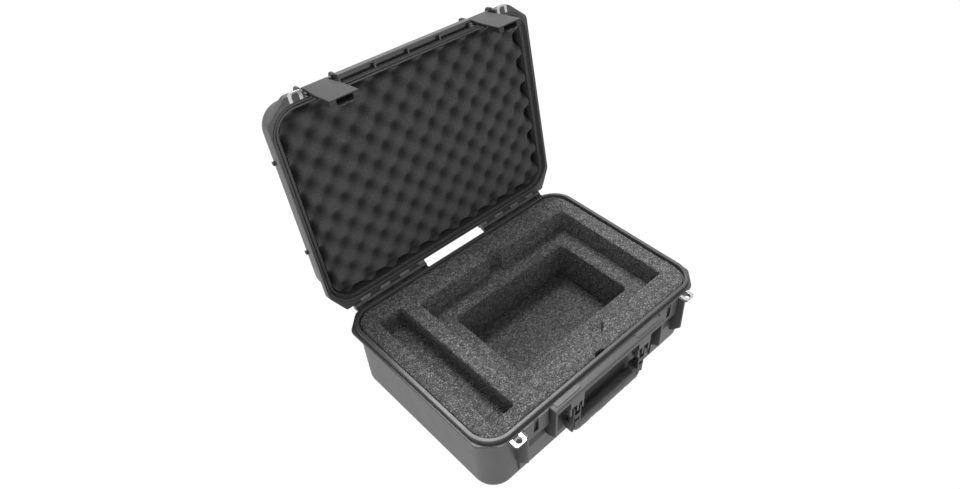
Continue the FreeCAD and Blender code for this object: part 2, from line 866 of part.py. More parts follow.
def narrowed(outline, inset):
    """Front view of a latch with both of its sides moved inwards."""
    middle = (latch_inner_edge + latch_outer_edge) / 2
    share = 1 - 2 * inset / (latch_outer_edge - latch_inner_edge)
    return [(middle + (x - middle) * share, z) for x, z in outline]


def make_latch_body():
    """Latch plate with its pivot barrel, side walls and finger opening, for the right side."""
    outline = latch_profile()
    inset = latch_wall_inset
    plate = front_prism(outline, latch_face, latch_face + latch_rim)
    walls = front_prism(narrowed(outline, inset), latch_face, latch_back)
    middle = (latch_inner_edge + latch_outer_edge) / 2
    end_top = latch_foot + latch_end_height
    end_block = box(latch_inner_edge + inset, latch_outer_edge - inset, latch_face,
                    latch_face + latch_end_depth, latch_foot, end_top)
    neck_low = latch_pin_z - latch_barrel_radius - 1.0
    inner = [(x, min(z, neck_low)) for x, z in narrowed(outline, inset + latch_wall)]
    inner = [point for index, point in enumerate(inner) if index == 0 or point != inner[index - 1]]
    hollow_face = latch_face + latch_plate_thickness
    depth_end = latch_face + latch_end_depth + overshoot
    inner_low = [(x, z - overshoot if z == latch_foot else z) for x, z in inner]
    hollow = front_prism(inner_low, hollow_face, depth_end)
    tabs_top = latch_foot + latch_tab_height
    tab_inner = middle - latch_finger_width / 2
    tab_outer = middle + latch_finger_width / 2
    tabs = [
        box(latch_inner_edge, tab_inner, latch_face, latch_face + latch_end_depth,
            latch_foot, tabs_top),
        box(tab_outer, latch_outer_edge, latch_face, latch_face + latch_end_depth,
            latch_foot, tabs_top),
    ]
    body = plate.fuse([walls, end_block]).cut(hollow).fuse(tabs)
    barrel_x0 = latch_inner_edge + latch_neck_inset
    barrel_x1 = latch_outer_edge - latch_neck_inset
    barrel = rod_x(latch_pin_y, latch_pin_z, latch_barrel_radius, barrel_x0, barrel_x1)
    head_cut = box(latch_inner_edge, latch_outer_edge, latch_pin_y, latch_back + overshoot,
                   neck_low, latch_pin_z + overshoot)
    body = body.cut(head_cut).fuse(barrel).removeSplitter()
    notch = box(tab_inner, tab_outer, latch_face - overshoot, depth_end,
                latch_foot - overshoot, latch_foot + latch_finger_notch)
    pin_bore = rod_x(latch_pin_y, latch_pin_z, latch_pin_radius + latch_pin_clearance,
                     latch_inner_edge - overshoot, latch_outer_edge + overshoot)
    trigger_bore = rod_x(trigger_pin_y, trigger_pin_z, trigger_pin_radius,
                         latch_inner_edge - overshoot, latch_outer_edge + overshoot)
    return body.cut([notch, pin_bore, trigger_bore])


def make_latch_pin():
    """Steel pin that a latch turns on, for the right side."""
    return rod_x(latch_pin_y, latch_pin_z, latch_pin_radius,
                 bay_inner - latch_ear_thickness, bay_outer + latch_ear_thickness)


def trigger_span():
    """Inner and outer edge of a trigger between the side walls of its latch."""
    reach = latch_wall_inset + latch_wall + trigger_side_gap
    return latch_inner_edge + reach, latch_outer_edge - reach


def make_trigger():
    """Trigger lever with its lip and two hooks that catch under the keeper, right side."""
    x0, x1 = trigger_span()
    middle = (x0 + x1) / 2
    lever_face = trigger_pin_y - trigger_boss_radius + 0.6
    lip_z = trigger_pin_z - trigger_lip_drop
    lip_y = latch_face + latch_end_depth + trigger_lip_reach
    lean_out = (lip_y - trigger_lever_thickness - lever_face) / trigger_lip_drop
    waist_z = latch_foot + latch_tab_height + 2.0
    waist_face = lever_face + (trigger_pin_z - waist_z) * lean_out
    upper = side_prism([
        (lever_face, trigger_pin_z),
        (waist_face, waist_z),
        (waist_face + trigger_lever_thickness, waist_z),
        (lever_face + trigger_lever_thickness, trigger_pin_z),
    ], x0, x1)
    tongue_x0 = middle - trigger_neck_width / 2
    tongue_x1 = middle + trigger_neck_width / 2
    lower = side_prism([
        (waist_face, waist_z),
        (lip_y - trigger_lever_thickness, lip_z),
        (lip_y, lip_z),
        (waist_face + trigger_lever_thickness, waist_z),
    ], tongue_x0, tongue_x1)
    boss = rod_x(trigger_pin_y, trigger_pin_z, trigger_boss_radius, x0, x1)
    hook_top = keeper_bottom - trigger_hook_gap
    rise = keeper_undercut / keeper_undercut_depth
    hook_y = keeper_face + trigger_hook_reach
    root_y = latch_back + 0.1
    hook_outline = [
        (lever_face, trigger_pin_z),
        (root_y, trigger_pin_z - trigger_boss_radius - 1.0),
        (root_y, hook_top),
        (keeper_face, hook_top),
        (hook_y, hook_top + (hook_y - keeper_face) * rise),
        (hook_y, hook_top + (hook_y - keeper_face) * rise - trigger_hook_tip),
        (root_y + 3.0, hook_top - trigger_hook_depth),
        (waist_face, waist_z + 1.0),
    ]
    hooks = [
        side_prism(hook_outline, x0, x0 + trigger_hook_width),
        side_prism(hook_outline, x1 - trigger_hook_width, x1),
    ]
    trigger = fused([upper, lower, boss] + hooks)
    half_gap = trigger_spring_width / 2
    spring_gap = box(middle - half_gap, middle + half_gap,
                     trigger_pin_y - 2 * trigger_boss_radius, trigger_pin_y + 2 * trigger_boss_radius,
                     trigger_pin_z - trigger_boss_radius - 1.0,
                     trigger_pin_z + trigger_boss_radius + overshoot)
    bore = rod_x(trigger_pin_y, trigger_pin_z, trigger_pin_radius + trigger_pin_clearance,
                 x0 - overshoot, x1 + overshoot)
    return trigger.cut([spring_gap, bore])


def make_trigger_pin():
    """Steel pin that a trigger turns on, right side."""
    return rod_x(trigger_pin_y, trigger_pin_z, trigger_pin_radius,
                 latch_inner_edge + 0.2, latch_outer_edge - 0.2)


def make_trigger_spring():
    """Wound body of a trigger's torsion spring on its pin, right side."""
    middle = (latch_inner_edge + latch_outer_edge) / 2
    half = trigger_spring_width / 2 - 0.3
    inner = trigger_pin_radius + 0.02
    body = rod_x(trigger_pin_y, trigger_pin_z, inner + trigger_spring_wire,
                 middle - half, middle + half)
    return body.cut(rod_x(trigger_pin_y, trigger_pin_z, inner, middle - half - overshoot,
                          middle + half + overshoot))


def handle_arm():
    """Ladder-shaped arm of the handle with a deep cheek on its outer side, right side."""
    back = handle_face + handle_arm_depth
    foot = grip_bottom + grip_bar / 2
    grip_back = grip_centre_y + grip_depth / 2
    low = handle_cheek_bottom
    bend = handle_cheek_round
    rail = [
        (handle_face, foot),
        (back, foot),
        (back, handle_pivot_z - 3.0 * handle_eye_radius),
        (handle_pivot_y + handle_eye_radius, handle_pivot_z),
        (handle_face, handle_pivot_z),
    ]
    cheek = [
        (handle_face, low + bend / 3),
        (handle_face + bend / 3, low),
        (grip_back - bend, low),
        (grip_back - 0.3 * bend, low + 0.3 * bend),
        (grip_back, low + bend),
        (grip_back, handle_cheek_top),
        (handle_pivot_y + handle_eye_radius, handle_pivot_z),
        (handle_face, handle_pivot_z),
    ]
    inner = handle_arm_inner + handle_rail
    outer = handle_arm_outer - handle_rail
    pieces = [side_prism(rail, handle_arm_inner, inner), side_prism(cheek, outer, handle_arm_outer)]
    for x0 in (handle_arm_inner, outer):
        pieces.append(rod_x(handle_pivot_y, handle_pivot_z, handle_eye_radius, x0, x0 + handle_rail))
    top = handle_window_top - handle_window_height
    pieces.append(box(handle_arm_inner, handle_arm_outer, handle_face, back, foot, top))
    window_top = handle_window_top - handle_window_pitch
    window = box(inner, outer, handle_face - overshoot, back + overshoot,
                 window_top - handle_window_height, window_top)
    bore = rod_x(handle_pivot_y, handle_pivot_z, handle_pin_radius + handle_pin_clearance,
                 handle_arm_inner - overshoot, handle_arm_outer + overshoot)
    return fused(pieces).cut([window, bore])


def make_handle_frame():
    """Stiff frame of the handle: two arms and the bar inside the grip."""
    centre_z = grip_bottom + grip_bar / 2
    core = box(-handle_arm_outer, handle_arm_outer, grip_centre_y - grip_core / 2,
               grip_centre_y + grip_core / 2, centre_z - grip_core / 2, centre_z + grip_core / 2)
    return fused([core] + both_sides(handle_arm()))


def make_handle_grip(frame):
    """Soft grip moulded round the bar and the feet of the arms."""
    x = handle_arm_outer - handle_rail - handle_seam
    r = grip_corner_radius
    inner_x = x - grip_arm
    inner_z = grip_bottom + grip_bar
    q = grip_inner_radius
    y0 = grip_centre_y - grip_depth / 2

    def arc(cx, cz, radius, start, end):
        turn = [math.radians(start + (end - start) * part) for part in (0.0, 0.5, 1.0)]
        spots = [Vector(cx + radius * math.cos(a), y0, cz + radius * math.sin(a)) for a in turn]
        return Part.Arc(*spots).toShape()

    def line(ax, az, bx, bz):
        return Part.LineSegment(Vector(ax, y0, az), Vector(bx, y0, bz)).toShape()

    low = grip_bottom
    edges = [
        line(-x + r, low, x - r, low),
        arc(x - r, low + r, r, -90, 0),
        line(x, low + r, x, grip_top),
        line(x, grip_top, inner_x, grip_top),
        line(inner_x, grip_top, inner_x, inner_z + q),
        arc(inner_x - q, inner_z + q, q, 0, -90),
        line(inner_x - q, inner_z, -inner_x + q, inner_z),
        arc(-inner_x + q, inner_z + q, q, -90, -180),
        line(-inner_x, inner_z + q, -inner_x, grip_top),
        line(-inner_x, grip_top, -x, grip_top),
        line(-x, grip_top, -x, low + r),
        arc(-x + r, low + r, r, 180, 270),
    ]
    face = Part.Face(Part.Wire(edges))
    grip = face.extrude(Vector(0, grip_depth, 0))
    long_edges = []
    for edge in grip.Edges:
        flat = all(abs(v.Y - edge.Vertexes[0].Y) < 0.001 for v in edge.Vertexes)
        above = all(abs(v.Z - grip_top) < 0.001 for v in edge.Vertexes)
        if flat and not above:
            long_edges.append(edge)
    grip = grip.makeFillet(grip_round, long_edges)
    return grip.cut(frame)


def make_handle_pins():
    """Two steel pins that the handle swings on."""
    inner = handle_arm_inner - handle_fin_gap - handle_fin_thickness
    pin = rod_x(handle_pivot_y, handle_pivot_z, handle_pin_radius, inner,
                handle_fin_outer + handle_fin_thickness)
    return Part.makeCompound(both_sides(pin))


def valve_faces():
    """Outer and inner face of the front wall at the valve."""
    outer = wall_y(valve_height + valve_cap_radius)
    inner = wall_y(valve_height - valve_cap_radius) + wall
    return outer, inner


def make_valve_body():
    """Cap and threaded stem of the pressure valve."""
    outer, inner = valve_faces()
    cap_back = outer - valve_seal_thickness
    cap = rod_y(valve_x, valve_height, valve_cap_radius, cap_back - valve_cap_thickness, cap_back)
    stem = rod_y(valve_x, valve_height, valve_stem_radius, cap_back - overshoot,
                 inner + valve_nut_thickness + 0.5)
    vent = rod_y(valve_x, valve_height, valve_stem_radius / 2, cap_back - overshoot,
                 inner + valve_nut_thickness + 2.0)
    return cap.fuse(stem).removeSplitter().cut(vent)


def make_valve_seal():
    """Rubber washer between the valve cap and the wall."""
    outer = valve_faces()[0]
    ring = rod_y(valve_x, valve_height, valve_cap_radius - 0.8, outer - valve_seal_thickness, outer)
    return ring.cut(rod_y(valve_x, valve_height, valve_stem_radius + valve_stem_clearance,
                          outer - 2 * valve_seal_thickness, outer + overshoot))


def make_valve_nut():
    """Hexagonal nut on the valve stem inside the wall."""
    inner = valve_faces()[1]
    radius = valve_nut_width / math.sqrt(3)
    points = []
    for index in range(6):
        turn = math.radians(60 * index)
        points.append((valve_x + radius * math.cos(turn), valve_height + radius * math.sin(turn)))
    nut = front_prism(points, inner, inner + valve_nut_thickness)
    return nut.cut(rod_y(valve_x, valve_height, valve_stem_radius + valve_stem_clearance,
                         inner - overshoot, inner + valve_nut_thickness + overshoot))


def foam_blank(z0, z1):
    """Slice of the foam that fills the base between two heights."""
    clear = foam_gap
    block = tub(half_width - clear, half_depth - clear, opening_corner - clear,
                tongue_top, wall + clear, shell_edge_radius - wall)
    slice_box = box(-opening_width, opening_width, -opening_depth, opening_depth, z0, z1)
    return block.common(slice_box).cut(scoop(wall + foam_gap))


def make_foam_pad():
    """Foam sheet on the floor of the base."""
    return foam_blank(wall + foam_gap, pad_top)


def make_foam_lower():
    """Lower foam block with the deep well."""
    well = box(well_left, well_right, well_front, well_back, pad_top - overshoot,
               ledge_top + overshoot)
    return foam_blank(pad_top, ledge_top).cut(well)


def make_foam_upper():
    """Upper foam block with the laptop pocket, the side slot and the finger notches."""
    pocket = box(pocket_left, pocket_right, pocket_front, pocket_back, ledge_top - overshoot,
                 foam_top + overshoot)
    slot = box(slot_left, slot_right, slot_front, slot_back, foam_top - slot_depth,
               foam_top + overshoot)
    notches = [
        rod_z(finger_notch_x, pocket_back, finger_notch_radius, ledge_top - overshoot,
              foam_top + overshoot),
        rod_z(finger_notch_x, pocket_front, finger_notch_radius, ledge_top - overshoot,
              foam_top + overshoot),
    ]
    inner_wall = -(half_depth - foam_gap)
    valve_notch = box(valve_x - valve_notch_width / 2, valve_x + valve_notch_width / 2,
                      inner_wall - overshoot, inner_wall + valve_notch_depth,
                      ledge_top - overshoot, foam_top + overshoot)
    return foam_blank(ledge_top, foam_top).cut([pocket, slot, valve_notch] + notches)


def crate_pits():
    """Pits of the egg-crate foam, on a lattice whose rows step by half a pitch."""
    columns = int(opening_width / crate_pitch_x) + 2
    rows = int(half_depth / crate_pitch_y) + 1
    face = lid_lip + crate_below_lip
    limit_x = half_width - crate_edge_gap - crate_pit_floor
    limit_y = half_depth - crate_edge_gap - crate_pit_floor
    pits = []
    for row in range(-rows, rows + 1):
        y = row * crate_pitch_y
        shift = crate_phase_x + (crate_pitch_x / 2 if row % 2 else 0.0)
        for column in range(-columns, columns + 1):
            x = shift + column * crate_pitch_x
            if abs(x) > limit_x or abs(y) > limit_y:
                continue
            pits.append(Part.makeCone(crate_pit_radius, crate_pit_floor, crate_pit_depth,
                                      Vector(x, y, face), Vector(0, 0, 1)))
    return pits


def make_lid_foam():
    """Egg-crate foam in the lid, as closed."""
    clear = crate_edge_gap
    block = tub(half_width - clear, half_depth - clear, opening_corner - clear, lid_lip,
                lid_top - wall - foam_gap, shell_edge_radius - wall)
    face = lid_lip + crate_below_lip
    block = block.common(box(-opening_width, opening_width, -opening_depth, opening_depth,
                             face, lid_top))
    return block.cut(crate_pits())


def opened(shape):
    """A piece of the lid, swung to where the lid stands open."""
    turned = shape.copy()
    turned.rotate(Vector(0, hinge_y, hinge_z), Vector(1, 0, 0), -lid_open_angle)
    return turned


def save(name, shape):
    """Writes one sub-part and reports its solids and volume."""
    shape.exportStep("parts/" + name + ".step")
    print(name, len(shape.Solids), shape.isValid(), round(shape.Volume / 1000.0, 2), "cm3")


def build():
    """Builds every sub-part of the case and writes it."""
    os.makedirs("parts", exist_ok=True)
    frame = make_handle_frame()
    fixed = {
        "base_shell": make_base_shell(),
        "hinge_pins": make_hinge_pins(),
        "base_protector_plates": Part.makeCompound(
            both_sides(protector_plate(flange_top - plate_thickness))),
        "handle_frame": frame,
        "handle_grip": make_handle_grip(frame),
        "handle_pins": make_handle_pins(),
        "valve_body": make_valve_body(),
        "valve_seal": make_valve_seal(),
        "valve_nut": make_valve_nut(),
        "base_foam_pad": make_foam_pad(),
        "base_foam_lower": make_foam_lower(),
        "base_foam_upper": make_foam_upper(),
    }
    swung = {
        "lid_shell": make_lid_shell(),
        "lid_seal": make_lid_seal(),
        "lid_foam": make_lid_foam(),
        "lid_protector_plates": Part.makeCompound(both_sides(protector_plate(skirt_bottom))),
    }
    paired = {
        "latch_body": make_latch_body(),
        "latch_pin": make_latch_pin(),
        "latch_trigger": make_trigger(),
        "trigger_pin": make_trigger_pin(),
        "trigger_spring": make_trigger_spring(),
    }
    for name, shape in paired.items():
        swung[name + "_right"] = shape
        swung[name + "_left"] = mirrored(shape)
    for name, shape in fixed.items():
        save(name, shape)
    for name, shape in swung.items():
        save(name, opened(shape))


build()
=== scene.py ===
import logging
import math
from dataclasses import dataclass, field
from enum import Enum
from typing import Sequence

import bmesh
import bpy
import numpy as np
from mathutils import Matrix


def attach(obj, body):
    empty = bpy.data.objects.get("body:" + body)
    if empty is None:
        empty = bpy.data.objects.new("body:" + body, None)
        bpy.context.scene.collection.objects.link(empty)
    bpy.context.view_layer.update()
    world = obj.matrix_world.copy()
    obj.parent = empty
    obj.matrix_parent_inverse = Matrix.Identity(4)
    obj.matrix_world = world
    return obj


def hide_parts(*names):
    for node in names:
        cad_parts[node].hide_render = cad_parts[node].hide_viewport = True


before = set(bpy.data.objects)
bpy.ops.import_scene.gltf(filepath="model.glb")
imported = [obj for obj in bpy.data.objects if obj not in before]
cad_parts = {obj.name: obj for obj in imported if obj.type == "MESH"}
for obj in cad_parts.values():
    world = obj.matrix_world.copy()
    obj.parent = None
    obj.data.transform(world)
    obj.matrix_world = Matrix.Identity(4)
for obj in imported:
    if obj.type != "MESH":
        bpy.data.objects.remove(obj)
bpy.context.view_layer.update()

LOG = logging.getLogger("laptop_case")
MM = 0.001
Array = np.ndarray


class Along(Enum):
    """Axis along which an outline is carried."""

    X = 0
    Y = 1
    Z = 2


class Body(Enum):
    """Moving bodies of the case."""

    BASE = "base"
    LID = "lid"
    HANDLE = "handle"
    LATCH_LEFT = "latch_left"
    LATCH_RIGHT = "latch_right"
    TRIGGER_LEFT = "trigger_left"
    TRIGGER_RIGHT = "trigger_right"


class Slot(Enum):
    """Material slots."""

    SHELL = "shell"
    LATCH = "latch"
    RUBBER = "rubber"
    STEEL = "steel"
    PLATE = "plate"
    BASE_FOAM = "base_foam"
    LID_FOAM = "lid_foam"


class Side(Enum):
    """Left and right half of the case, as the sign of X."""

    LEFT = -1
    RIGHT = 1

    @property
    def word(self) -> str:
        """The side's name in small letters."""
        return self.name.lower()


@dataclass(frozen=True)
class CaseSizes:
    """Sizes that the base and the lid share, in millimetres and radians."""

    half_width: float = 235.0
    half_depth: float = 166.5
    corner: float = 36.0
    wall: float = 3.5
    lean: float = math.tan(math.radians(1.5))
    rim: float = 135.0
    lid_lip: float = 135.3
    lid_top: float = 193.0
    edge: float = 12.0
    flange_under: float = 122.5
    flange_top: float = 128.0
    skirt_bottom: float = 128.5
    lid_flange_top: float = 140.3
    hinge_y: float = 187.3
    hinge_z: float = 127.5
    lid_turn: float = math.radians(-100.1)
    apron_face: float = -191.5
    bay_face: float = -191.0
    bay_inner: float = 126.5
    bay_outer: float = 181.2

    def wall_y(self, height: float) -> float:
        """Front wall's outer face at a height: it leans in by the draft below the rim."""
        return -(self.half_depth + self.wall - (self.rim - height) * self.lean)


CASE = CaseSizes()


def swung(points: Array) -> Array:
    """Turns points of the closed lid about the hinge line to where the lid stands open.

    Args:
        points: Points [n, 3] in millimetres.

    Returns:
        The turned points: y and z rotate about the hinge by the lid's angle, x stays.
    """
    across = points[:, 1] - CASE.hinge_y
    above = points[:, 2] - CASE.hinge_z
    cosine, sine = math.cos(CASE.lid_turn), math.sin(CASE.lid_turn)
    return np.stack([points[:, 0],
                     CASE.hinge_y + across * cosine - above * sine,
                     CASE.hinge_z + across * sine + above * cosine], axis=-1)


def lattice_noise(points: Array, size: float, seed: int) -> Array:
    """Smooth noise from -1 to 1 over space.

    Each corner of a cubic lattice has a number from a hash of its place; inside a cell the eight
    numbers are blended with the ease s * s * (3 - 2 * s) along each axis.

    Args:
        points: Points [n, 3] in millimetres.
        size: Width of a lattice cell in millimetres.
        seed: Number that chooses the pattern.

    Returns:
        One value for each point.
    """
    cell = points / size
    base = np.floor(cell).astype(np.int64)
    part = cell - base
    ease = part * part * (3.0 - 2.0 * part)
    total = np.zeros(len(points))
    for corner in np.ndindex(2, 2, 2):
        place = (base + np.array(corner)).astype(np.uint64)
        key = place[:, 0] * np.uint64(73856093)
        key ^= place[:, 1] * np.uint64(19349663)
        key ^= place[:, 2] * np.uint64(83492791)
        key ^= np.uint64(seed * 2654435761)
        key = (key ^ (key >> np.uint64(15))) * np.uint64(2246822519)
        key = (key ^ (key >> np.uint64(13))) * np.uint64(3266489917)
        value = ((key >> np.uint64(16)) & np.uint64(65535)).astype(float) / 32767.5 - 1.0
        share = np.prod(np.where(np.array(corner) == 1, ease, 1.0 - ease), axis=1)
        total += share * value
    return total


def arc(centre: tuple[float, float], radius: float, start: float, end: float, steps: int) -> Array:
    """Points on a circle's arc between two angles in degrees, both ends included."""
    turn = np.radians(np.linspace(start, end, steps + 1))
    return np.stack([centre[0] + radius * np.cos(turn), centre[1] + radius * np.sin(turn)], axis=-1)


def rounded(outline: Sequence[tuple[float, float]], radii: float | Sequence[float],
            steps: int = 5) -> Array:
    """Rounds the corners of a closed outline.

    A corner gives way to an arc that touches both of its sides: with half angle h between the
    sides, the arc starts r / tan(h) from the corner and its centre is r / sin(h) away.

    Args:
        outline: Corners of the outline.
        radii: One radius, or one for each corner; 0 keeps a corner sharp.
        steps: Segments in each arc.

    Returns:
        Points [n, 2] of the rounded outline.
    """
    corners = np.asarray(outline, float)
    sizes = np.broadcast_to(np.asarray(radii, float), (len(corners),))
    spots = []
    for index, corner in enumerate(corners):
        radius = sizes[index]
        before = corners[index - 1] - corner
        after = corners[(index + 1) % len(corners)] - corner
        before, after = before / np.linalg.norm(before), after / np.linalg.norm(after)
        half = math.acos(float(np.clip(before @ after, -1.0, 1.0))) / 2.0
        if radius <= 0.0 or half > math.pi / 2.0 - 0.01:
            spots.append(corner[None])
            continue
        middle = (before + after) / np.linalg.norm(before + after)
        centre = corner + middle * radius / math.sin(half)
        first = corner + before * radius / math.tan(half) - centre
        last = corner + after * radius / math.tan(half) - centre
        sweep = math.pi - 2.0 * half
        share = np.linspace(0.0, 1.0, steps + 1)[:, None]
        spots.append(centre + (np.sin((1.0 - share) * sweep) * first
                               + np.sin(share * sweep) * last) / math.sin(sweep))
    return np.concatenate(spots)


@dataclass(frozen=True)
class RoundedLoop:
    """Samples round a rounded rectangle that stay in line when its sizes change.

    A corner sample at angle t is x = sx * (half_x - r) + r * cos(t) and y likewise with sin(t),
    so it is linear in half_x, half_y and r; samples of the straights are blends of the corner
    ends.
    """

    corner_steps: int = 20
    side_stops: tuple[float, ...] = tuple(np.linspace(0, 1, 14)[1:-1])
    front_stops: tuple[float, ...] = tuple(np.linspace(0, 1, 14)[1:-1])

    def weights(self) -> Array:
        """Weights [n, 4]: half_x and radius in x, then half_y and radius in y."""
        corners = [(1, -1, -90), (1, 1, 0), (-1, 1, 90), (-1, -1, 180)]
        blocks = []
        for sx, sy, start in corners:
            turn = np.radians(start + np.linspace(0.0, 90.0, self.corner_steps + 1))
            blocks.append(np.stack([np.full_like(turn, sx), np.cos(turn) - sx,
                                    np.full_like(turn, sy), np.sin(turn) - sy], axis=-1))
        rows = []
        stops = [self.side_stops, self.side_stops, self.side_stops, self.front_stops]
        for index, block in enumerate(blocks):
            following = blocks[(index + 1) % 4]
            share = np.asarray(stops[index])[:, None]
            rows += [block, block[-1] * (1.0 - share) + following[0] * share]
        return np.concatenate(rows)

    def rings(self, sections: Array) -> Array:
        """Rings of samples.

        Args:
            sections: Rows of reach at the sides, at the front and at the back, radius and z.

        Returns:
            Points [sections, samples, 3].
        """
        part = self.weights()
        side, front, back, radius, z = (sections[:, i, None] for i in range(5))
        x = side * part[:, 0] + radius * part[:, 1]
        y = (back - front) / 2 + (back + front) / 2 * part[:, 2] + radius * part[:, 3]
        return np.stack([x, y, np.broadcast_to(z, x.shape)], axis=-1)


def even_sections(profile: Array) -> Array:
    """Turns a profile into ring sections that reach equally far out all round.

    Args:
        profile: Points [n, 2] of distance out from the opening and height.

    Returns:
        Rows of side, front, back, radius and z.
    """
    out = profile[:, 0]
    return np.stack([CASE.half_width + out, CASE.half_depth + out, CASE.half_depth + out,
                     CASE.corner + out, profile[:, 1]], axis=-1)


def rim_sections(profile: Array) -> Array:
    """Turns a rim profile into ring sections.

    The profile's first number is the distance out from the opening at the sides. The rim is
    narrower in front and narrower still at the back, so the distance there follows broken lines
    through the edges of step, seal groove, tongue and skirt.

    Args:
        profile: Points [n, 2] of distance out and height.

    Returns:
        Rows of side, front, back, radius and z.
    """
    out = profile[:, 0]
    marks = [0.0, 2.0, 4.3, 7.7, 8.5, 12.8]
    front = np.interp(out, marks, [0.0, 1.5, 3.3, 6.7, 7.5, 11.8])
    back = np.interp(out, marks, [0.0, 0.05, 0.8, 4.2, 5.0, 9.3])
    return np.stack([CASE.half_width + out, CASE.half_depth + front, CASE.half_depth + back,
                     CASE.corner + (out + front) / 2.0, profile[:, 1]], axis=-1)


@dataclass
class Skin:
    """Points and faces gathered from several surfaces, in millimetres, before they are a piece."""

    points: list[Array] = field(default_factory=list)
    faces: list[list[int]] = field(default_factory=list)
    total: int = 0

    def add(self, points: Array) -> Array:
        """Takes in points of any grid shape and returns their numbers in that shape."""
        numbers = self.total + np.arange(points[..., 0].size).reshape(points.shape[:-1])
        self.points.append(points.reshape(-1, 3).astype(float))
        self.total += numbers.size
        return numbers

    def sheet(self, points: Array, wrap_rows: bool = False, wrap_columns: bool = False) -> Array:
        """Takes in a grid of points and joins neighbours with quads.

        Args:
            points: Points [rows, columns, 3].
            wrap_rows: Joins the last row to the first.
            wrap_columns: Joins the last column to the first.

        Returns:
            The numbers of the points, [rows, columns].
        """
        numbers = self.add(points)
        here = numbers if wrap_rows else numbers[:-1]
        below = np.roll(numbers, -1, axis=0) if wrap_rows else numbers[1:]
        if wrap_columns:
            right, corner = np.roll(here, -1, axis=1), np.roll(below, -1, axis=1)
        else:
            right, corner = here[:, 1:], below[:, 1:]
            here, below = here[:, :-1], below[:, :-1]
        self.faces += np.stack([here, right, corner, below], axis=-1).reshape(-1, 4).tolist()
        return numbers

    def tube(self, points: Array) -> Array:
        """Takes in rings of points [rings, samples, 3] and closes both ends with a cap."""
        numbers = self.sheet(points, wrap_columns=True)
        self.faces += [numbers[0].tolist(), numbers[-1].tolist()]
        return numbers

    def prism(self, outline: Array | Sequence[tuple[float, float]], along: Along, start: float,
              end: float) -> None:
        """Carries a closed outline along an axis and closes both ends.

        Args:
            outline: Points of the outline: y, z along X; x, z along Y; x, y along Z.
            along: Axis of travel.
            start: First place on the axis.
            end: Last place on the axis.
        """
        flat = np.asarray(outline, float)
        stops = np.array([start, end])
        first = np.broadcast_to(flat[None, :, 0], (2, len(flat)))
        second = np.broadcast_to(flat[None, :, 1], (2, len(flat)))
        travel = np.broadcast_to(stops[:, None], (2, len(flat)))
        order = {Along.X: (travel, first, second), Along.Y: (first, travel, second),
                 Along.Z: (first, second, travel)}[along]
        self.tube(np.stack(order, axis=-1))

    def block(self, x: tuple[float, float], y: tuple[float, float], z: tuple[float, float]) -> None:
        """Takes in a block between two places on each axis, as an outline carried upwards."""
        outline = [(x[0], y[0]), (x[1], y[0]), (x[1], y[1]), (x[0], y[1])]
        self.prism(outline, Along.Z, z[0], z[1])

    def rim_plate(self, inner: Array, outline: Array, z0: float, z1: float,
                  edge: float = 1.0) -> None:
        """Plate between an inner ring and a convex outline, with rounded outer edges.

        Each inner sample is joined to the outline's point at the same angle about the ring's
        middle; the outer edge is a quarter circle above and below.

        Args:
            inner: Samples [n, 2] of the inner ring.
            outline: Points [m, 2] of the convex outline.
            z0: Underside.
            z1: Top.
            edge: Radius of the outer edges.
        """
        middle = inner.mean(axis=0)
        angle = np.arctan2(*(inner - middle).T[::-1])
        dense = np.concatenate([outline, outline[:1]])
        step = np.linspace(0, len(outline), 40 * len(outline) + 1)[:-1]
        dense = np.stack([np.interp(step, np.arange(len(dense)), dense[:, i]) for i in range(2)],
                         axis=-1)
        far = np.arctan2(*(dense - middle).T[::-1])
        order = np.argsort(far)
        outer = np.stack([np.interp(angle, far[order], dense[order, i], period=2 * math.pi)
                          for i in range(2)], axis=-1)
        away = outer - inner
        away /= np.linalg.norm(away, axis=1)[:, None]
        quarter = np.radians(np.linspace(0.0, 90.0, 5))
        inset = np.concatenate([edge * (1 - np.sin(quarter)), edge * (1 - np.cos(quarter))])
        height = np.concatenate([z1 - edge * (1 - np.cos(quarter)),
                                 z0 + edge * (1 - np.sin(quarter))])
        rings = outer[None] - inset[:, None, None] * away[None]
        rings = np.concatenate([inner[None], rings, inner[None]])
        height = np.concatenate([[z1], height, [z0]])
        height = np.broadcast_to(height[:, None, None], (*rings.shape[:2], 1))
        self.sheet(np.concatenate([rings, height], axis=-1), wrap_rows=True, wrap_columns=True)

    def mirrored(self) -> "Skin":
        """Adds the mirror image on the other side of the case, and returns the skin."""
        turned = [points * np.array([-1.0, 1.0, 1.0]) for points in self.points]
        self.faces += [[number + self.total for number in reversed(face)] for face in self.faces]
        self.points += turned
        self.total *= 2
        return self

    def placed(self, side: Side) -> "Skin":
        """Moves a skin made for the right side to a side of the case, and returns it."""
        if side is Side.LEFT:
            self.points = [points * np.array([-1.0, 1.0, 1.0]) for points in self.points]
            self.faces = [face[::-1] for face in self.faces]
        return self


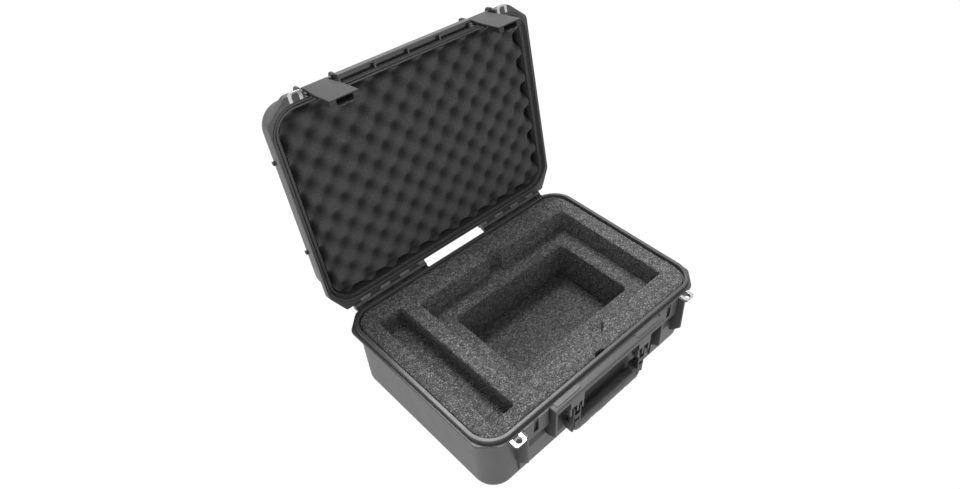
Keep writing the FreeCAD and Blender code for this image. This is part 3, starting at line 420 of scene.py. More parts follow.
class Board:
    """Places and joins shader nodes in one node tree."""

    def __init__(self, tree: bpy.types.NodeTree) -> None:
        """Takes the tree and clears it."""
        self.tree = tree
        tree.nodes.clear()

    def node(self, kind: str, **settings: object) -> bpy.types.Node:
        """Adds a node of a kind and sets its properties."""
        made = self.tree.nodes.new(kind)
        for name, value in settings.items():
            setattr(made, name, value)
        return made

    def feed(self, socket: bpy.types.NodeSocket, value: object) -> None:
        """Links a socket to another, or writes a plain value on it."""
        if isinstance(value, bpy.types.NodeSocket):
            self.tree.links.new(value, socket)
        else:
            socket.default_value = value

    def sum(self, operation: str, *values: object) -> bpy.types.NodeSocket:
        """Adds a math node and returns its output."""
        made = self.node("ShaderNodeMath", operation=operation)
        for socket, value in zip(made.inputs, values):
            self.feed(socket, value)
        return made.outputs[0]

    def span(self, value: object, low: float, high: float, to_low: float,
             to_high: float) -> bpy.types.NodeSocket:
        """Maps a range of a value to another range, clamped, and returns the output."""
        made = self.node("ShaderNodeMapRange")
        for socket, given in zip(made.inputs, (value, low, high, to_low, to_high)):
            self.feed(socket, given)
        return made.outputs[0]

    def blend(self, share: object, first: object, second: object,
              mode: str = "MIX") -> bpy.types.NodeSocket:
        """Mixes two colours and returns the result."""
        made = self.node("ShaderNodeMix", data_type="RGBA", blend_type=mode)
        self.feed(made.inputs[0], share)
        self.feed(made.inputs[6], first)
        self.feed(made.inputs[7], second)
        return made.outputs[2]

    def noise(self, place: object, scale: float, detail: float = 3.0,
              rough: float = 0.55) -> bpy.types.NodeSocket:
        """Adds a noise texture over a place and returns its value."""
        made = self.node("ShaderNodeTexNoise")
        self.feed(made.inputs["Vector"], place)
        self.feed(made.inputs["Scale"], scale)
        self.feed(made.inputs["Detail"], detail)
        self.feed(made.inputs["Roughness"], rough)
        return made.outputs[0]

    def cells(self, place: object, scale: object, feature: str = "F1",
              output: str = "Distance") -> bpy.types.NodeSocket:
        """Adds a Voronoi texture over a place and returns one of its outputs."""
        made = self.node("ShaderNodeTexVoronoi", feature=feature)
        self.feed(made.inputs["Vector"], place)
        self.feed(made.inputs["Scale"], scale)
        return made.outputs[output]


def shader_group(name: str, inputs: Sequence[tuple[str, str]],
                 outputs: Sequence[tuple[str, str]]) -> tuple[Board, dict, bpy.types.Node]:
    """Makes an empty shader node group with named sockets.

    Args:
        name: Name of the group.
        inputs: Pairs of socket name and socket type.
        outputs: Pairs of socket name and socket type.

    Returns:
        The group's board, its input sockets by name and its output node.
    """
    tree = bpy.data.node_groups.new(name, "ShaderNodeTree")
    for label, kind in inputs:
        tree.interface.new_socket(label, in_out="INPUT", socket_type=kind)
    for label, kind in outputs:
        tree.interface.new_socket(label, in_out="OUTPUT", socket_type=kind)
    board = Board(tree)
    entry = board.node("NodeGroupInput")
    leave = board.node("NodeGroupOutput")
    return board, {socket.name: socket for socket in entry.outputs}, leave


class Effects:
    """Shader groups that several finishes share, each built once."""

    def __init__(self) -> None:
        """Builds every group."""
        self.grain = self._grain()
        self.beads = self._beads()
        self.film = self._film()

    @staticmethod
    def _grain() -> bpy.types.NodeTree:
        """Moulded grain: fine pits and a slow drift of tone."""
        board, given, leave = shader_group(
            "moulded_grain", [("Place", "NodeSocketVector"), ("Size", "NodeSocketFloat")],
            [("Tone", "NodeSocketFloat"), ("Height", "NodeSocketFloat")])
        fine = board.cells(given["Place"], given["Size"])
        drift = board.noise(given["Place"], 22.0, 4.0)
        speck = board.noise(given["Place"], 900.0, 2.0)
        board.feed(leave.inputs["Height"], board.sum("ADD", fine, board.sum("MULTIPLY", speck, 0.6)))
        tone = board.span(drift, 0.3, 0.7, 0.93, 1.05)
        board.feed(leave.inputs["Tone"], board.sum("MULTIPLY", tone,
                                                   board.span(speck, 0.3, 0.7, 0.96, 1.04)))
        return board.tree

    @staticmethod
    def _beads() -> bpy.types.NodeTree:
        """Cut foam beads: cells of different tone with dark seams between them."""
        board, given, leave = shader_group(
            "foam_beads", [("Place", "NodeSocketVector"), ("Size", "NodeSocketFloat")],
            [("Tone", "NodeSocketFloat"), ("Height", "NodeSocketFloat")])
        warp = board.node("ShaderNodeVectorMath", operation="ADD")
        wobble = board.node("ShaderNodeTexNoise")
        board.feed(wobble.inputs["Vector"], given["Place"])
        board.feed(wobble.inputs["Scale"], 320.0)
        small = board.node("ShaderNodeVectorMath", operation="SCALE")
        board.feed(small.inputs[0], wobble.outputs["Color"])
        board.feed(small.inputs["Scale"], 0.0022)
        board.feed(warp.inputs[0], given["Place"])
        board.feed(warp.inputs[1], small.outputs[0])
        place = warp.outputs[0]
        each = board.node("ShaderNodeTexVoronoi", feature="F1")
        board.feed(each.inputs["Vector"], place)
        board.feed(each.inputs["Scale"], given["Size"])
        shade = board.node("ShaderNodeSeparateColor")
        board.feed(shade.inputs[0], each.outputs["Color"])
        seam = board.cells(place, given["Size"], "DISTANCE_TO_EDGE")
        gap = board.span(seam, 0.02, 0.22, 0.0, 1.0)
        crumb = board.noise(given["Place"], 560.0, 3.0, 0.7)
        tone = board.sum("MULTIPLY", board.span(shade.outputs[0], 0.0, 1.0, 0.6, 1.45),
                         board.span(crumb, 0.33, 0.68, 0.12, 2.0))
        tone = board.sum("MULTIPLY", tone, board.span(gap, 0.0, 1.0, 0.5, 1.0))
        board.feed(leave.inputs["Tone"], tone)
        board.feed(leave.inputs["Height"], board.sum("ADD", gap, board.sum("MULTIPLY", crumb, 1.6)))
        return board.tree

    @staticmethod
    def _film() -> bpy.types.NodeTree:
        """Thin film of handling marks and dust, in soft patches."""
        board, given, leave = shader_group(
            "handling_film", [("Place", "NodeSocketVector")], [("Mask", "NodeSocketFloat")])
        patch = board.noise(given["Place"], 34.0, 6.0, 0.62)
        fleck = board.noise(given["Place"], 420.0, 2.0)
        mask = board.sum("MULTIPLY", board.span(patch, 0.48, 0.75, 0.0, 1.0),
                         board.span(fleck, 0.45, 0.75, 0.35, 1.0))
        board.feed(leave.inputs["Mask"], mask)
        return board.tree


@dataclass(frozen=True)
class Finish:
    """Common numbers of a finish."""

    name: str
    colour: tuple[float, float, float]
    roughness: float

    def start(self) -> tuple[bpy.types.Material, Board, bpy.types.Node, bpy.types.NodeSocket]:
        """Makes the material with its shader and returns it, its board, shader and place."""
        material = bpy.data.materials.new(self.name)
        material.use_nodes = True
        board = Board(material.node_tree)
        shader = board.node("ShaderNodeBsdfPrincipled")
        out = board.node("ShaderNodeOutputMaterial")
        board.feed(out.inputs["Surface"], shader.outputs[0])
        place = board.node("ShaderNodeTexCoord").outputs["Object"]
        material.diffuse_color = (*self.colour, 1.0)
        return material, board, shader, place

    def tint(self, share: float) -> tuple[float, float, float, float]:
        """The finish's colour times a share, with alpha."""
        return (*(min(1.0, part * share) for part in self.colour), 1.0)

    def relief(self, board: Board, shader: bpy.types.Node, height: object, depth: float,
               strength: float = 1.0) -> None:
        """Feeds a height through a bump node to the shader's normal."""
        bump = board.node("ShaderNodeBump")
        board.feed(bump.inputs["Height"], height)
        board.feed(bump.inputs["Distance"], depth * MM)
        board.feed(bump.inputs["Strength"], strength)
        board.feed(shader.inputs["Normal"], bump.outputs[0])


@dataclass(frozen=True)
class MouldedPlastic(Finish):
    """Moulded plastic with a fine grain."""

    grain: float = 1100.0
    depth: float = 0.05
    specular: float = 0.5
    film: float = 0.12

    def material(self, effects: Effects) -> bpy.types.Material:
        """Builds the material: grain in tone and relief, and a light film in patches."""
        material, board, shader, place = self.start()
        grain = board.node("ShaderNodeGroup", node_tree=effects.grain)
        board.feed(grain.inputs["Place"], place)
        board.feed(grain.inputs["Size"], self.grain)
        film = board.node("ShaderNodeGroup", node_tree=effects.film)
        board.feed(film.inputs["Place"], place)
        toned = board.blend(1.0, self.tint(1.0), grain.outputs["Tone"], "MULTIPLY")
        share = board.sum("MULTIPLY", film.outputs["Mask"], self.film)
        board.feed(shader.inputs["Base Color"], board.blend(share, toned, self.tint(1.9)))
        rough = board.span(film.outputs["Mask"], 0.0, 1.0, self.roughness - 0.03,
                           self.roughness + 0.1)
        board.feed(shader.inputs["Roughness"], rough)
        shader.inputs["Specular IOR Level"].default_value = self.specular
        self.relief(board, shader, grain.outputs["Height"], self.depth)
        return material


@dataclass(frozen=True)
class BeadFoam(Finish):
    """Cut foam of small beads."""

    bead: float = 260.0
    depth: float = 0.8

    def material(self, effects: Effects) -> bpy.types.Material:
        """Builds the material: each bead has its tone, with dark seams and a rough relief."""
        material, board, shader, place = self.start()
        beads = board.node("ShaderNodeGroup", node_tree=effects.beads)
        board.feed(beads.inputs["Place"], place)
        board.feed(beads.inputs["Size"], self.bead)
        board.feed(shader.inputs["Base Color"],
                   board.blend(1.0, self.tint(1.0), beads.outputs["Tone"], "MULTIPLY"))
        shader.inputs["Roughness"].default_value = self.roughness
        shader.inputs["Specular IOR Level"].default_value = 0.3
        self.relief(board, shader, beads.outputs["Height"], self.depth)
        return material


@dataclass(frozen=True)
class SoftFoam(Finish):
    """Open-cell foam, with painted shade deep in its pits."""

    def material(self, effects: Effects) -> bpy.types.Material:
        """Builds the material: fine cells, slow tone patches and painted shade that deepens with the
        pit depth.
        """
        material, board, shader, place = self.start()
        depth = board.node("ShaderNodeAttribute", attribute_name="pit_depth").outputs["Fac"]
        fine = board.noise(place, 560.0, 3.0, 0.75)
        patch = board.noise(place, 60.0, 3.0)
        tone = board.sum("MULTIPLY", board.span(fine, 0.3, 0.7, 0.62, 1.38),
                         board.span(patch, 0.3, 0.7, 0.92, 1.08))
        # painted shade: the colour darkens down into the pits and is a little lighter on the peaks
        tone = board.sum("MULTIPLY", tone, board.span(depth, 0.1, 0.95, 1.06, 0.26))
        board.feed(shader.inputs["Base Color"],
                   board.blend(1.0, self.tint(1.0), tone, "MULTIPLY"))
        shader.inputs["Roughness"].default_value = self.roughness
        shader.inputs["Specular IOR Level"].default_value = 0.2
        shader.inputs["Sheen Weight"].default_value = 0.15
        shader.inputs["Sheen Roughness"].default_value = 0.6
        self.relief(board, shader, fine, 0.35)
        return material


@dataclass(frozen=True)
class Rubber(Finish):
    """Smooth elastomer with a faint ripple."""

    ripple: float = 90.0
    depth: float = 0.3

    def material(self, effects: Effects) -> bpy.types.Material:
        """Builds the material: a soft ripple and a fine grain under a satin gloss."""
        material, board, shader, place = self.start()
        ripple = board.noise(place, self.ripple, 2.0)
        film = board.node("ShaderNodeGroup", node_tree=effects.film)
        board.feed(film.inputs["Place"], place)
        share = board.sum("MULTIPLY", film.outputs["Mask"], 0.15)
        board.feed(shader.inputs["Base Color"], board.blend(share, self.tint(1.0), self.tint(2.5)))
        board.feed(shader.inputs["Roughness"],
                   board.span(ripple, 0.3, 0.7, self.roughness - 0.05, self.roughness + 0.07))
        self.relief(board, shader, ripple, self.depth)
        return material


@dataclass(frozen=True)
class Metal(Finish):
    """Bare metal with drawn lines."""

    lines: float = 260.0

    def material(self, effects: Effects) -> bpy.types.Material:
        """Builds the material: long thin lines in roughness and relief."""
        material, board, shader, place = self.start()
        stretch = board.node("ShaderNodeMapping")
        board.feed(stretch.inputs["Vector"], place)
        stretch.inputs["Scale"].default_value = (0.05, 1.0, 1.0)
        drawn = board.noise(stretch.outputs[0], self.lines * 12.0, 3.0)
        board.feed(shader.inputs["Base Color"],
                   board.blend(drawn, self.tint(0.9), self.tint(1.05)))
        board.feed(shader.inputs["Roughness"],
                   board.span(drawn, 0.3, 0.7, self.roughness - 0.06, self.roughness + 0.08))
        shader.inputs["Metallic"].default_value = 1.0
        self.relief(board, shader, drawn, 0.02)
        return material


@dataclass
class Palette:
    """Every finish of the case, made once."""

    effects: Effects
    made: dict[str, bpy.types.Material] = field(default_factory=dict)
    finishes: tuple[Finish, ...] = (
        MouldedPlastic("shell_plastic", (0.072, 0.072, 0.073), 0.42),
        MouldedPlastic("latch_plastic", (0.03, 0.03, 0.031), 0.45, grain=1500.0, depth=0.03,
                       specular=0.4),
        Rubber("grip_rubber", (0.09, 0.09, 0.09), 0.45),
        Rubber("seal_rubber", (0.02, 0.02, 0.02), 0.42, ripple=300.0, depth=0.05),
        Metal("pin_steel", (0.5, 0.5, 0.51), 0.34),
        Metal("plate_stainless", (0.5, 0.5, 0.5), 0.3),
        BeadFoam("bead_foam", (0.19, 0.19, 0.19), 0.92),
        SoftFoam("crate_foam", (0.074, 0.074, 0.075), 0.95),
    )

    def __getitem__(self, name: str) -> bpy.types.Material:
        """The material of a finish, built the first time it is asked for."""
        if name not in self.made:
            finish = next(f for f in self.finishes if f.name == name)
            self.made[name] = finish.material(self.effects)
        return self.made[name]


@dataclass(frozen=True)
class Maker:
    """Turns skins into finished pieces."""

    palette: Palette

    def weld(self, mesh: bpy.types.Mesh, sharp: float) -> None:
        """Joins doubled points, points every face outwards and marks the sharp edges.

        Args:
            mesh: Mesh to clean.
            sharp: Angle in degrees above which an edge shades as sharp; 0 marks none.
        """
        work = bmesh.new()
        work.from_mesh(mesh)
        bmesh.ops.remove_doubles(work, verts=work.verts, dist=0.003 * MM)
        bmesh.ops.dissolve_degenerate(work, edges=work.edges, dist=0.001 * MM)
        bmesh.ops.recalc_face_normals(work, faces=work.faces)
        for face in work.faces:
            face.smooth = True
        if sharp > 0.0:
            limit = math.radians(sharp)
            for edge in work.edges:
                edge.smooth = edge.calc_face_angle(0.0) < limit
        work.to_mesh(mesh)
        work.free()

    def piece(self, name: str, skin: Skin, finish: str, body: Body, slot: Slot,
              replaces: Sequence[str] = (), bevel: float = 0.0,
              lid: bool = False) -> bpy.types.Object:
        """Makes a finished piece that rides on a body.

        Args:
            name: Name of the piece.
            skin: Its points and faces.
            finish: Name of its finish.
            body: Body that it moves with.
            slot: Material slot that its finish belongs to; not used.
            replaces: Nodes that it stands for.
            bevel: Width of the rounding of its sharp edges in millimetres.
            lid: True if the skin is drawn with the lid closed.

        Returns:
            The piece.
        """
        points = np.concatenate(skin.points)
        if lid:
            points = swung(points)
        mesh = bpy.data.meshes.new(name)
        mesh.from_pydata((points * MM).tolist(), [], skin.faces)
        self.weld(mesh, 0.0 if bevel else 38.0)
        mesh.materials.append(self.palette[finish])
        made = bpy.data.objects.new(name, mesh)
        bpy.context.scene.collection.objects.link(made)
        if bevel:
            rounding = made.modifiers.new("edge_rounding", "BEVEL")
            rounding.width = bevel * MM
            rounding.segments = 3
            rounding.limit_method = "ANGLE"
            rounding.angle_limit = math.radians(28.0)
            rounding.harden_normals = True
        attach(made, body.value)
        if replaces:
            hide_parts(*replaces)
        LOG.info("%s: %d points on %s", name, len(mesh.vertices), body.value)
        return made

    def foam_piece(self, name: str, node: str, voxel: float, rough: float,
                   seed: int) -> bpy.types.Object:
        """Makes a foam block with torn, uneven edges from the node's own space.

        The node's shape is rebuilt from small cells, and each point moves along its normal by two
        layers of noise, one of bead size and one four times as large.

        Args:
            name: Name of the piece.
            node: Node that the foam fills.
            voxel: Cell size in millimetres.
            rough: Largest move of a point in millimetres.
            seed: Number that chooses the noise.

        Returns:
            The piece.
        """
        source = bpy.data.objects.new("foam_source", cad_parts[node].data.copy())
        bpy.context.scene.collection.objects.link(source)
        self.weld(source.data, 0.0)
        cut = source.modifiers.new("cells", "REMESH")
        cut.mode = "VOXEL"
        cut.voxel_size = voxel * MM
        bpy.context.view_layer.update()
        solved = source.evaluated_get(bpy.context.evaluated_depsgraph_get())
        mesh = bpy.data.meshes.new_from_object(solved)
        bpy.data.objects.remove(source)
        count = len(mesh.vertices)
        points = np.empty(count * 3, np.float32)
        normals = np.empty(count * 3, np.float32)
        mesh.vertices.foreach_get("co", points)
        mesh.vertex_normals.foreach_get("vector", normals)
        points = points.reshape(-1, 3).astype(float) / MM
        normals = normals.reshape(-1, 3)
        move = 0.65 * lattice_noise(points, 3.2, seed) + 0.35 * lattice_noise(points, 13.0, seed + 1)
        points = points + normals * (rough * (move - 0.4))[:, None]
        mesh.vertices.foreach_set("co", (points * MM).astype(np.float32).ravel())
        mesh.materials.clear()
        mesh.materials.append(self.palette["bead_foam"])
        mesh.polygons.foreach_set("use_smooth", np.ones(len(mesh.polygons), bool))
        mesh.update()
        mesh.name = name
        made = bpy.data.objects.new(name, mesh)
        bpy.context.scene.collection.objects.link(made)
        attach(made, Body.BASE.value)
        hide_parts(node)
        LOG.info("%s: %d points of foam", name, count)
        return made


@dataclass
class BaseShell:
    """Lower moulding: tub, rim, flange, apron, latch bays, lugs, knuckles and fins."""

    maker: Maker
    scoop_half: float = 98.0
    scoop_radius: float = 80.0
    scoop_depth: float = 8.0
    scoop_z: float = 56.6

    def scooped(self, grid: Array, offset: float) -> Array:
        """Presses the hand scoop into the front wall.

        In front of the scoop's round bar, y rises to the bar's surface: centre plus the root of
        radius squared less height squared.

        Args:
            grid: Points [..., 3].
            offset: How much larger the bar is than the scoop.

        Returns:
            The moved points.
        """
        x, y, z = grid[..., 0], grid[..., 1], grid[..., 2]
        centre = CASE.wall_y(self.scoop_z) - self.scoop_radius + self.scoop_depth
        radius = self.scoop_radius + offset
        rise = radius ** 2 - (z - self.scoop_z) ** 2
        surface = centre + np.sqrt(np.maximum(rise, 0.0))
        inside = (np.abs(x) < self.scoop_half + offset) & (rise > 0.0) & (y < 0.0)
        moved = grid.copy()
        moved[..., 1] = np.where(inside, np.maximum(y, surface), y)
        return moved

    def loop(self) -> RoundedLoop:
        """Loop whose front samples meet the ends of the scoop."""
        reach = CASE.half_width - CASE.corner
        places = np.concatenate([np.linspace(-97.9, 97.9, 33), [-170, -135, 135, 170],
                                 [-98.1, 98.1, -101.4, -101.6, 101.4, 101.6]])
        return RoundedLoop(front_stops=tuple(np.sort((places + reach) / (2 * reach))))

    def tub(self) -> None:
        """Tub with its walls, inner step and tongue, as one closed surface."""
        quarter = np.radians(np.linspace(0.0, 90.0, 8))
        inner_edge = CASE.edge - CASE.wall
        floor = CASE.wall
        walls_in = np.stack([-inner_edge * (1 - np.sin(quarter)),
                             floor + inner_edge * (1 - np.cos(quarter))], axis=-1)
        climb = np.linspace(floor + inner_edge, 125.3, 40)[1:]
        walls_in = np.concatenate([walls_in, np.stack([np.zeros_like(climb), climb], axis=-1)])
        fall = np.linspace(CASE.flange_under - 0.6, CASE.edge, 38)
        walls_out = np.stack([np.zeros_like(fall), fall], axis=-1)
        bottom = np.stack([-CASE.edge * (1 - np.cos(quarter)), CASE.edge * (1 - np.sin(quarter))],
                          axis=-1)
        walls_out = np.concatenate([walls_out, bottom[1:]])

        def leaning(profile: Array, offset: float) -> Array:
            out = profile[:, 0] + offset - (CASE.rim - profile[:, 1]) * CASE.lean
            return even_sections(np.stack([out, profile[:, 1]], axis=-1))

        rim = rounded([(0.0, 126.0), (2.0, 126.0), (2.0, 135.0), (8.0, 135.0), (8.0, 122.3)],
                      [0.3, 0.2, 0.4, 0.6, 0.0], steps=5)
        loop = self.loop()
        inside = self.scooped(loop.rings(leaning(walls_in, 0.0)), CASE.wall)
        under = loop.rings(even_sections(np.array([[3.4, 122.3]])))
        outside = self.scooped(loop.rings(leaning(walls_out, CASE.wall)), 0.0)
        skin = Skin()
        skin.tube(np.concatenate([inside, loop.rings(rim_sections(rim)), under, outside]))
        self.maker.piece("base_tub", skin, "shell_plastic", Body.BASE, Slot.SHELL, ["base_shell"])

    def flange(self) -> None:
        """Outer flange with chamfered corners, and its padlock lugs."""
        side, front, back, cut = 247.5, -178.0, 177.0, 28.0
        right = [(side - cut, front), (side, front + cut), (side, back - cut), (side - cut, back)]
        outline = rounded(right + [(-x, y) for x, y in reversed(right)], 12.0, 8)
        inner = RoundedLoop(30).rings(rim_sections(np.array([[7.0, 0.0]])))[0, :, :2]
        skin = Skin()
        skin.rim_plate(inner, outline, CASE.flange_under, CASE.flange_top, 1.1)
        self.maker.piece("base_flange", skin, "shell_plastic", Body.BASE, Slot.SHELL)
        lugs = Skin()
        hole = arc((196.0, -186.3), 4.2, 0.0, 360.0, 32)[:-1]
        edge = rounded([(185.0, -192.3), (207.0, -192.3), (207.0, -176.5), (185.0, -176.5)],
                       [2.0, 2.0, 0.0, 0.0], 4)
        lugs.rim_plate(hole, edge, 122.6, 126.4, 0.6)
        self.maker.piece("padlock_lugs", lugs.mirrored(), "shell_plastic", Body.BASE, Slot.SHELL)

    def apron(self) -> None:
        """Apron over the handle: plate with a turned-down lip and two raised bars."""
        top, face = 127.0, CASE.apron_face
        outline = rounded([(-165.0, 122.5), (face + 3.5, 122.5), (face + 3.5, 118.0), (face, 118.0),
                           (face, top), (-165.0, top)], [0, 0.8, 0, 0, 3.0, 0], 6)
        skin = Skin()
        skin.prism(outline, Along.X, -CASE.bay_inner, CASE.bay_inner)
        self.maker.piece("front_apron", skin, "shell_plastic", Body.BASE, Slot.SHELL, bevel=0.7)
        comb = Skin()
        comb.block((64.5, 94.5), (face + 0.02, face + 3.5), (102.0, 119.5))
        self.maker.piece("apron_comb", comb.mirrored(), "shell_plastic", Body.BASE, Slot.SHELL,
                         bevel=0.6)
        bars = Skin()
        bars.prism(rounded([(66.5, -186.0), (119.0, -186.0), (119.0, -176.0), (66.5, -176.0)], 1.0,
                           4), Along.Z, 126.0, 128.05)
        self.maker.piece("apron_bars", bars.mirrored(), "shell_plastic", Body.BASE, Slot.SHELL,
                         bevel=0.6)

    def bays(self) -> None:
        """Ribs, posts, keepers and panels of the two latch bays."""
        face = CASE.bay_face
        rib = Skin()
        foot = CASE.wall_y(55.0)
        rib.prism(rounded([(foot + 2.0, 55.0), (foot - 8.0, 55.0), (face, 63.0), (face, 126.8),
                           (CASE.wall_y(126.8) + 1.0, 126.8)], [0, 2.0, 2.0, 1.0, 0]),
                  Along.X, 122.5, 126.4)
        self.maker.piece("bay_ribs", rib.mirrored(), "shell_plastic", Body.BASE, Slot.SHELL,
                         bevel=0.8)
        post = Skin()
        foot = CASE.wall_y(38.0)
        post.prism(rounded([(foot + 2.0, 38.0), (foot - 2.5, 40.0), (foot - 11.0, 46.4),
                            (foot - 16.5, 53.5), (face, 61.75), (face, 127.9),
                            (CASE.wall_y(126.8) + 1.0, 127.9)], [0, 2.0, 6.0, 6.0, 3.0, 1.0, 0]),
                   Along.X, CASE.bay_outer, CASE.bay_outer + 3.5)
        self.maker.piece("bay_posts", post.mirrored(), "shell_plastic", Body.BASE, Slot.SHELL,
                         bevel=0.9)
        keeper = Skin()
        for x0, x1, front in ((130.0, 151.0, -179.6), (160.0, 180.0, -179.6),
                              (150.5, 160.5, -175.1)):
            low = 91.5 if front < -176.0 else 93.1
            keeper.prism([(CASE.wall_y(92.0) + 1.0, 94.6), (-171.0, 94.6), (front, low),
                          (front, 127.95), (CASE.wall_y(127.0) + 1.0, 127.95)], Along.X, x0, x1)
        keeper.block((151.0, 160.0), (-179.6, -171.0), (93.1, 101.0))
        keeper.block((CASE.bay_inner, CASE.bay_outer), (-178.2, -168.0), (122.6, 127.9))
        self.maker.piece("latch_keepers", keeper.mirrored(), "shell_plastic", Body.BASE,
                         Slot.SHELL, bevel=0.5)
        panel = Skin()
        panel.prism([(CASE.wall_y(15.0) + 1.0, 15.0), (CASE.wall_y(15.0), 15.0),
                     (CASE.wall_y(15.0) - 3.0, 18.0), (CASE.wall_y(60.0) - 4.0, 60.0),
                     (CASE.wall_y(60.0), 68.0), (CASE.wall_y(60.0) + 1.5, 68.0)],
                    Along.X, 130.0, 182.2)
        self.maker.piece("bay_panels", panel.mirrored(), "shell_plastic", Body.BASE, Slot.SHELL,
                         bevel=1.0)

    def knuckles(self) -> None:
        """Hinge knuckles along the back edge."""
        y, z, radius = CASE.hinge_y, CASE.hinge_z, 5.0
        outline = np.concatenate([[(175.0, 122.6)], arc((y, z), radius, -100.0, 177.0, 24),
                                  [(175.0, 127.7)]])
        skin = Skin()
        for x0, x1 in ((80.0, 100.0), (120.0, 140.0), (160.0, 180.0), (200.0, 214.0)):
            skin.prism(outline, Along.X, x0 + 0.25, x1 - 0.25)
        for x0, x1 in ((66.0, 80.0), (100.0, 120.0), (140.0, 160.0), (180.0, 200.0)):
            ledge = arc((y, z), radius + 0.3, 246.0, 196.5, 12)
            skin.prism(np.concatenate([[(176.0, 122.65)], ledge, [(176.0, 126.0)]]), Along.X,
                       x0 - 0.2, x1 + 0.2)
        self.maker.piece("base_knuckles", skin.mirrored(), "shell_plastic", Body.BASE, Slot.SHELL,
                         bevel=0.5)

    def fins(self) -> None:
        """Fins under the apron that carry the handle pins."""
        y, z, radius = -183.0, 89.0, 7.5
        face, low = CASE.apron_face + 1.0, 81.5
        outline = rounded([(CASE.wall_y(z) + 1.0, z + 14.0), (y + radius, z),
                           (y + radius / 2, low), (face, low), (face, 122.4),
                           (CASE.wall_y(122.0) + 1.0, 122.4)], [0, 4.0, 2.5, 2.0, 0, 0], 6)
        skin = Skin()
        for x0 in (64.5, 75.65, 91.0):
            skin.prism(outline, Along.X, x0, x0 + 3.5)
        self.maker.piece("handle_fins", skin.mirrored(), "shell_plastic", Body.BASE, Slot.SHELL,
                         bevel=0.6)

    def build(self) -> None:
        """Builds the whole lower moulding."""
        self.tub()
        self.flange()
        self.apron()
        self.bays()
        self.knuckles()
        self.fins()


def padlock_plate(z0: float) -> Skin:
    """Stainless plate with a U slot open towards the case, on both sides.

    The outline runs round the bevelled front, then back along the slot: two straights joined by
    half a circle about the padlock hole.

    Args:
        z0: Underside of the plate.

    Returns:
        The skin of both plates.
    """
    x, y, slot, face = 196.0, -186.3, 5.4, -193.3
    back = -178.2
    outline = np.concatenate([
        [(x - 11.0, back), (x - 11.0, face + 3.0), (x - 8.0, face), (x + 8.0, face),
         (x + 11.0, face + 3.0), (x + 11.0, back), (x + slot, back)],
        arc((x, y), slot, 0.0, -180.0, 20), [(x - slot, back)]])
    skin = Skin()
    skin.prism(outline, Along.Z, z0, z0 + 1.5)
    return skin.mirrored()


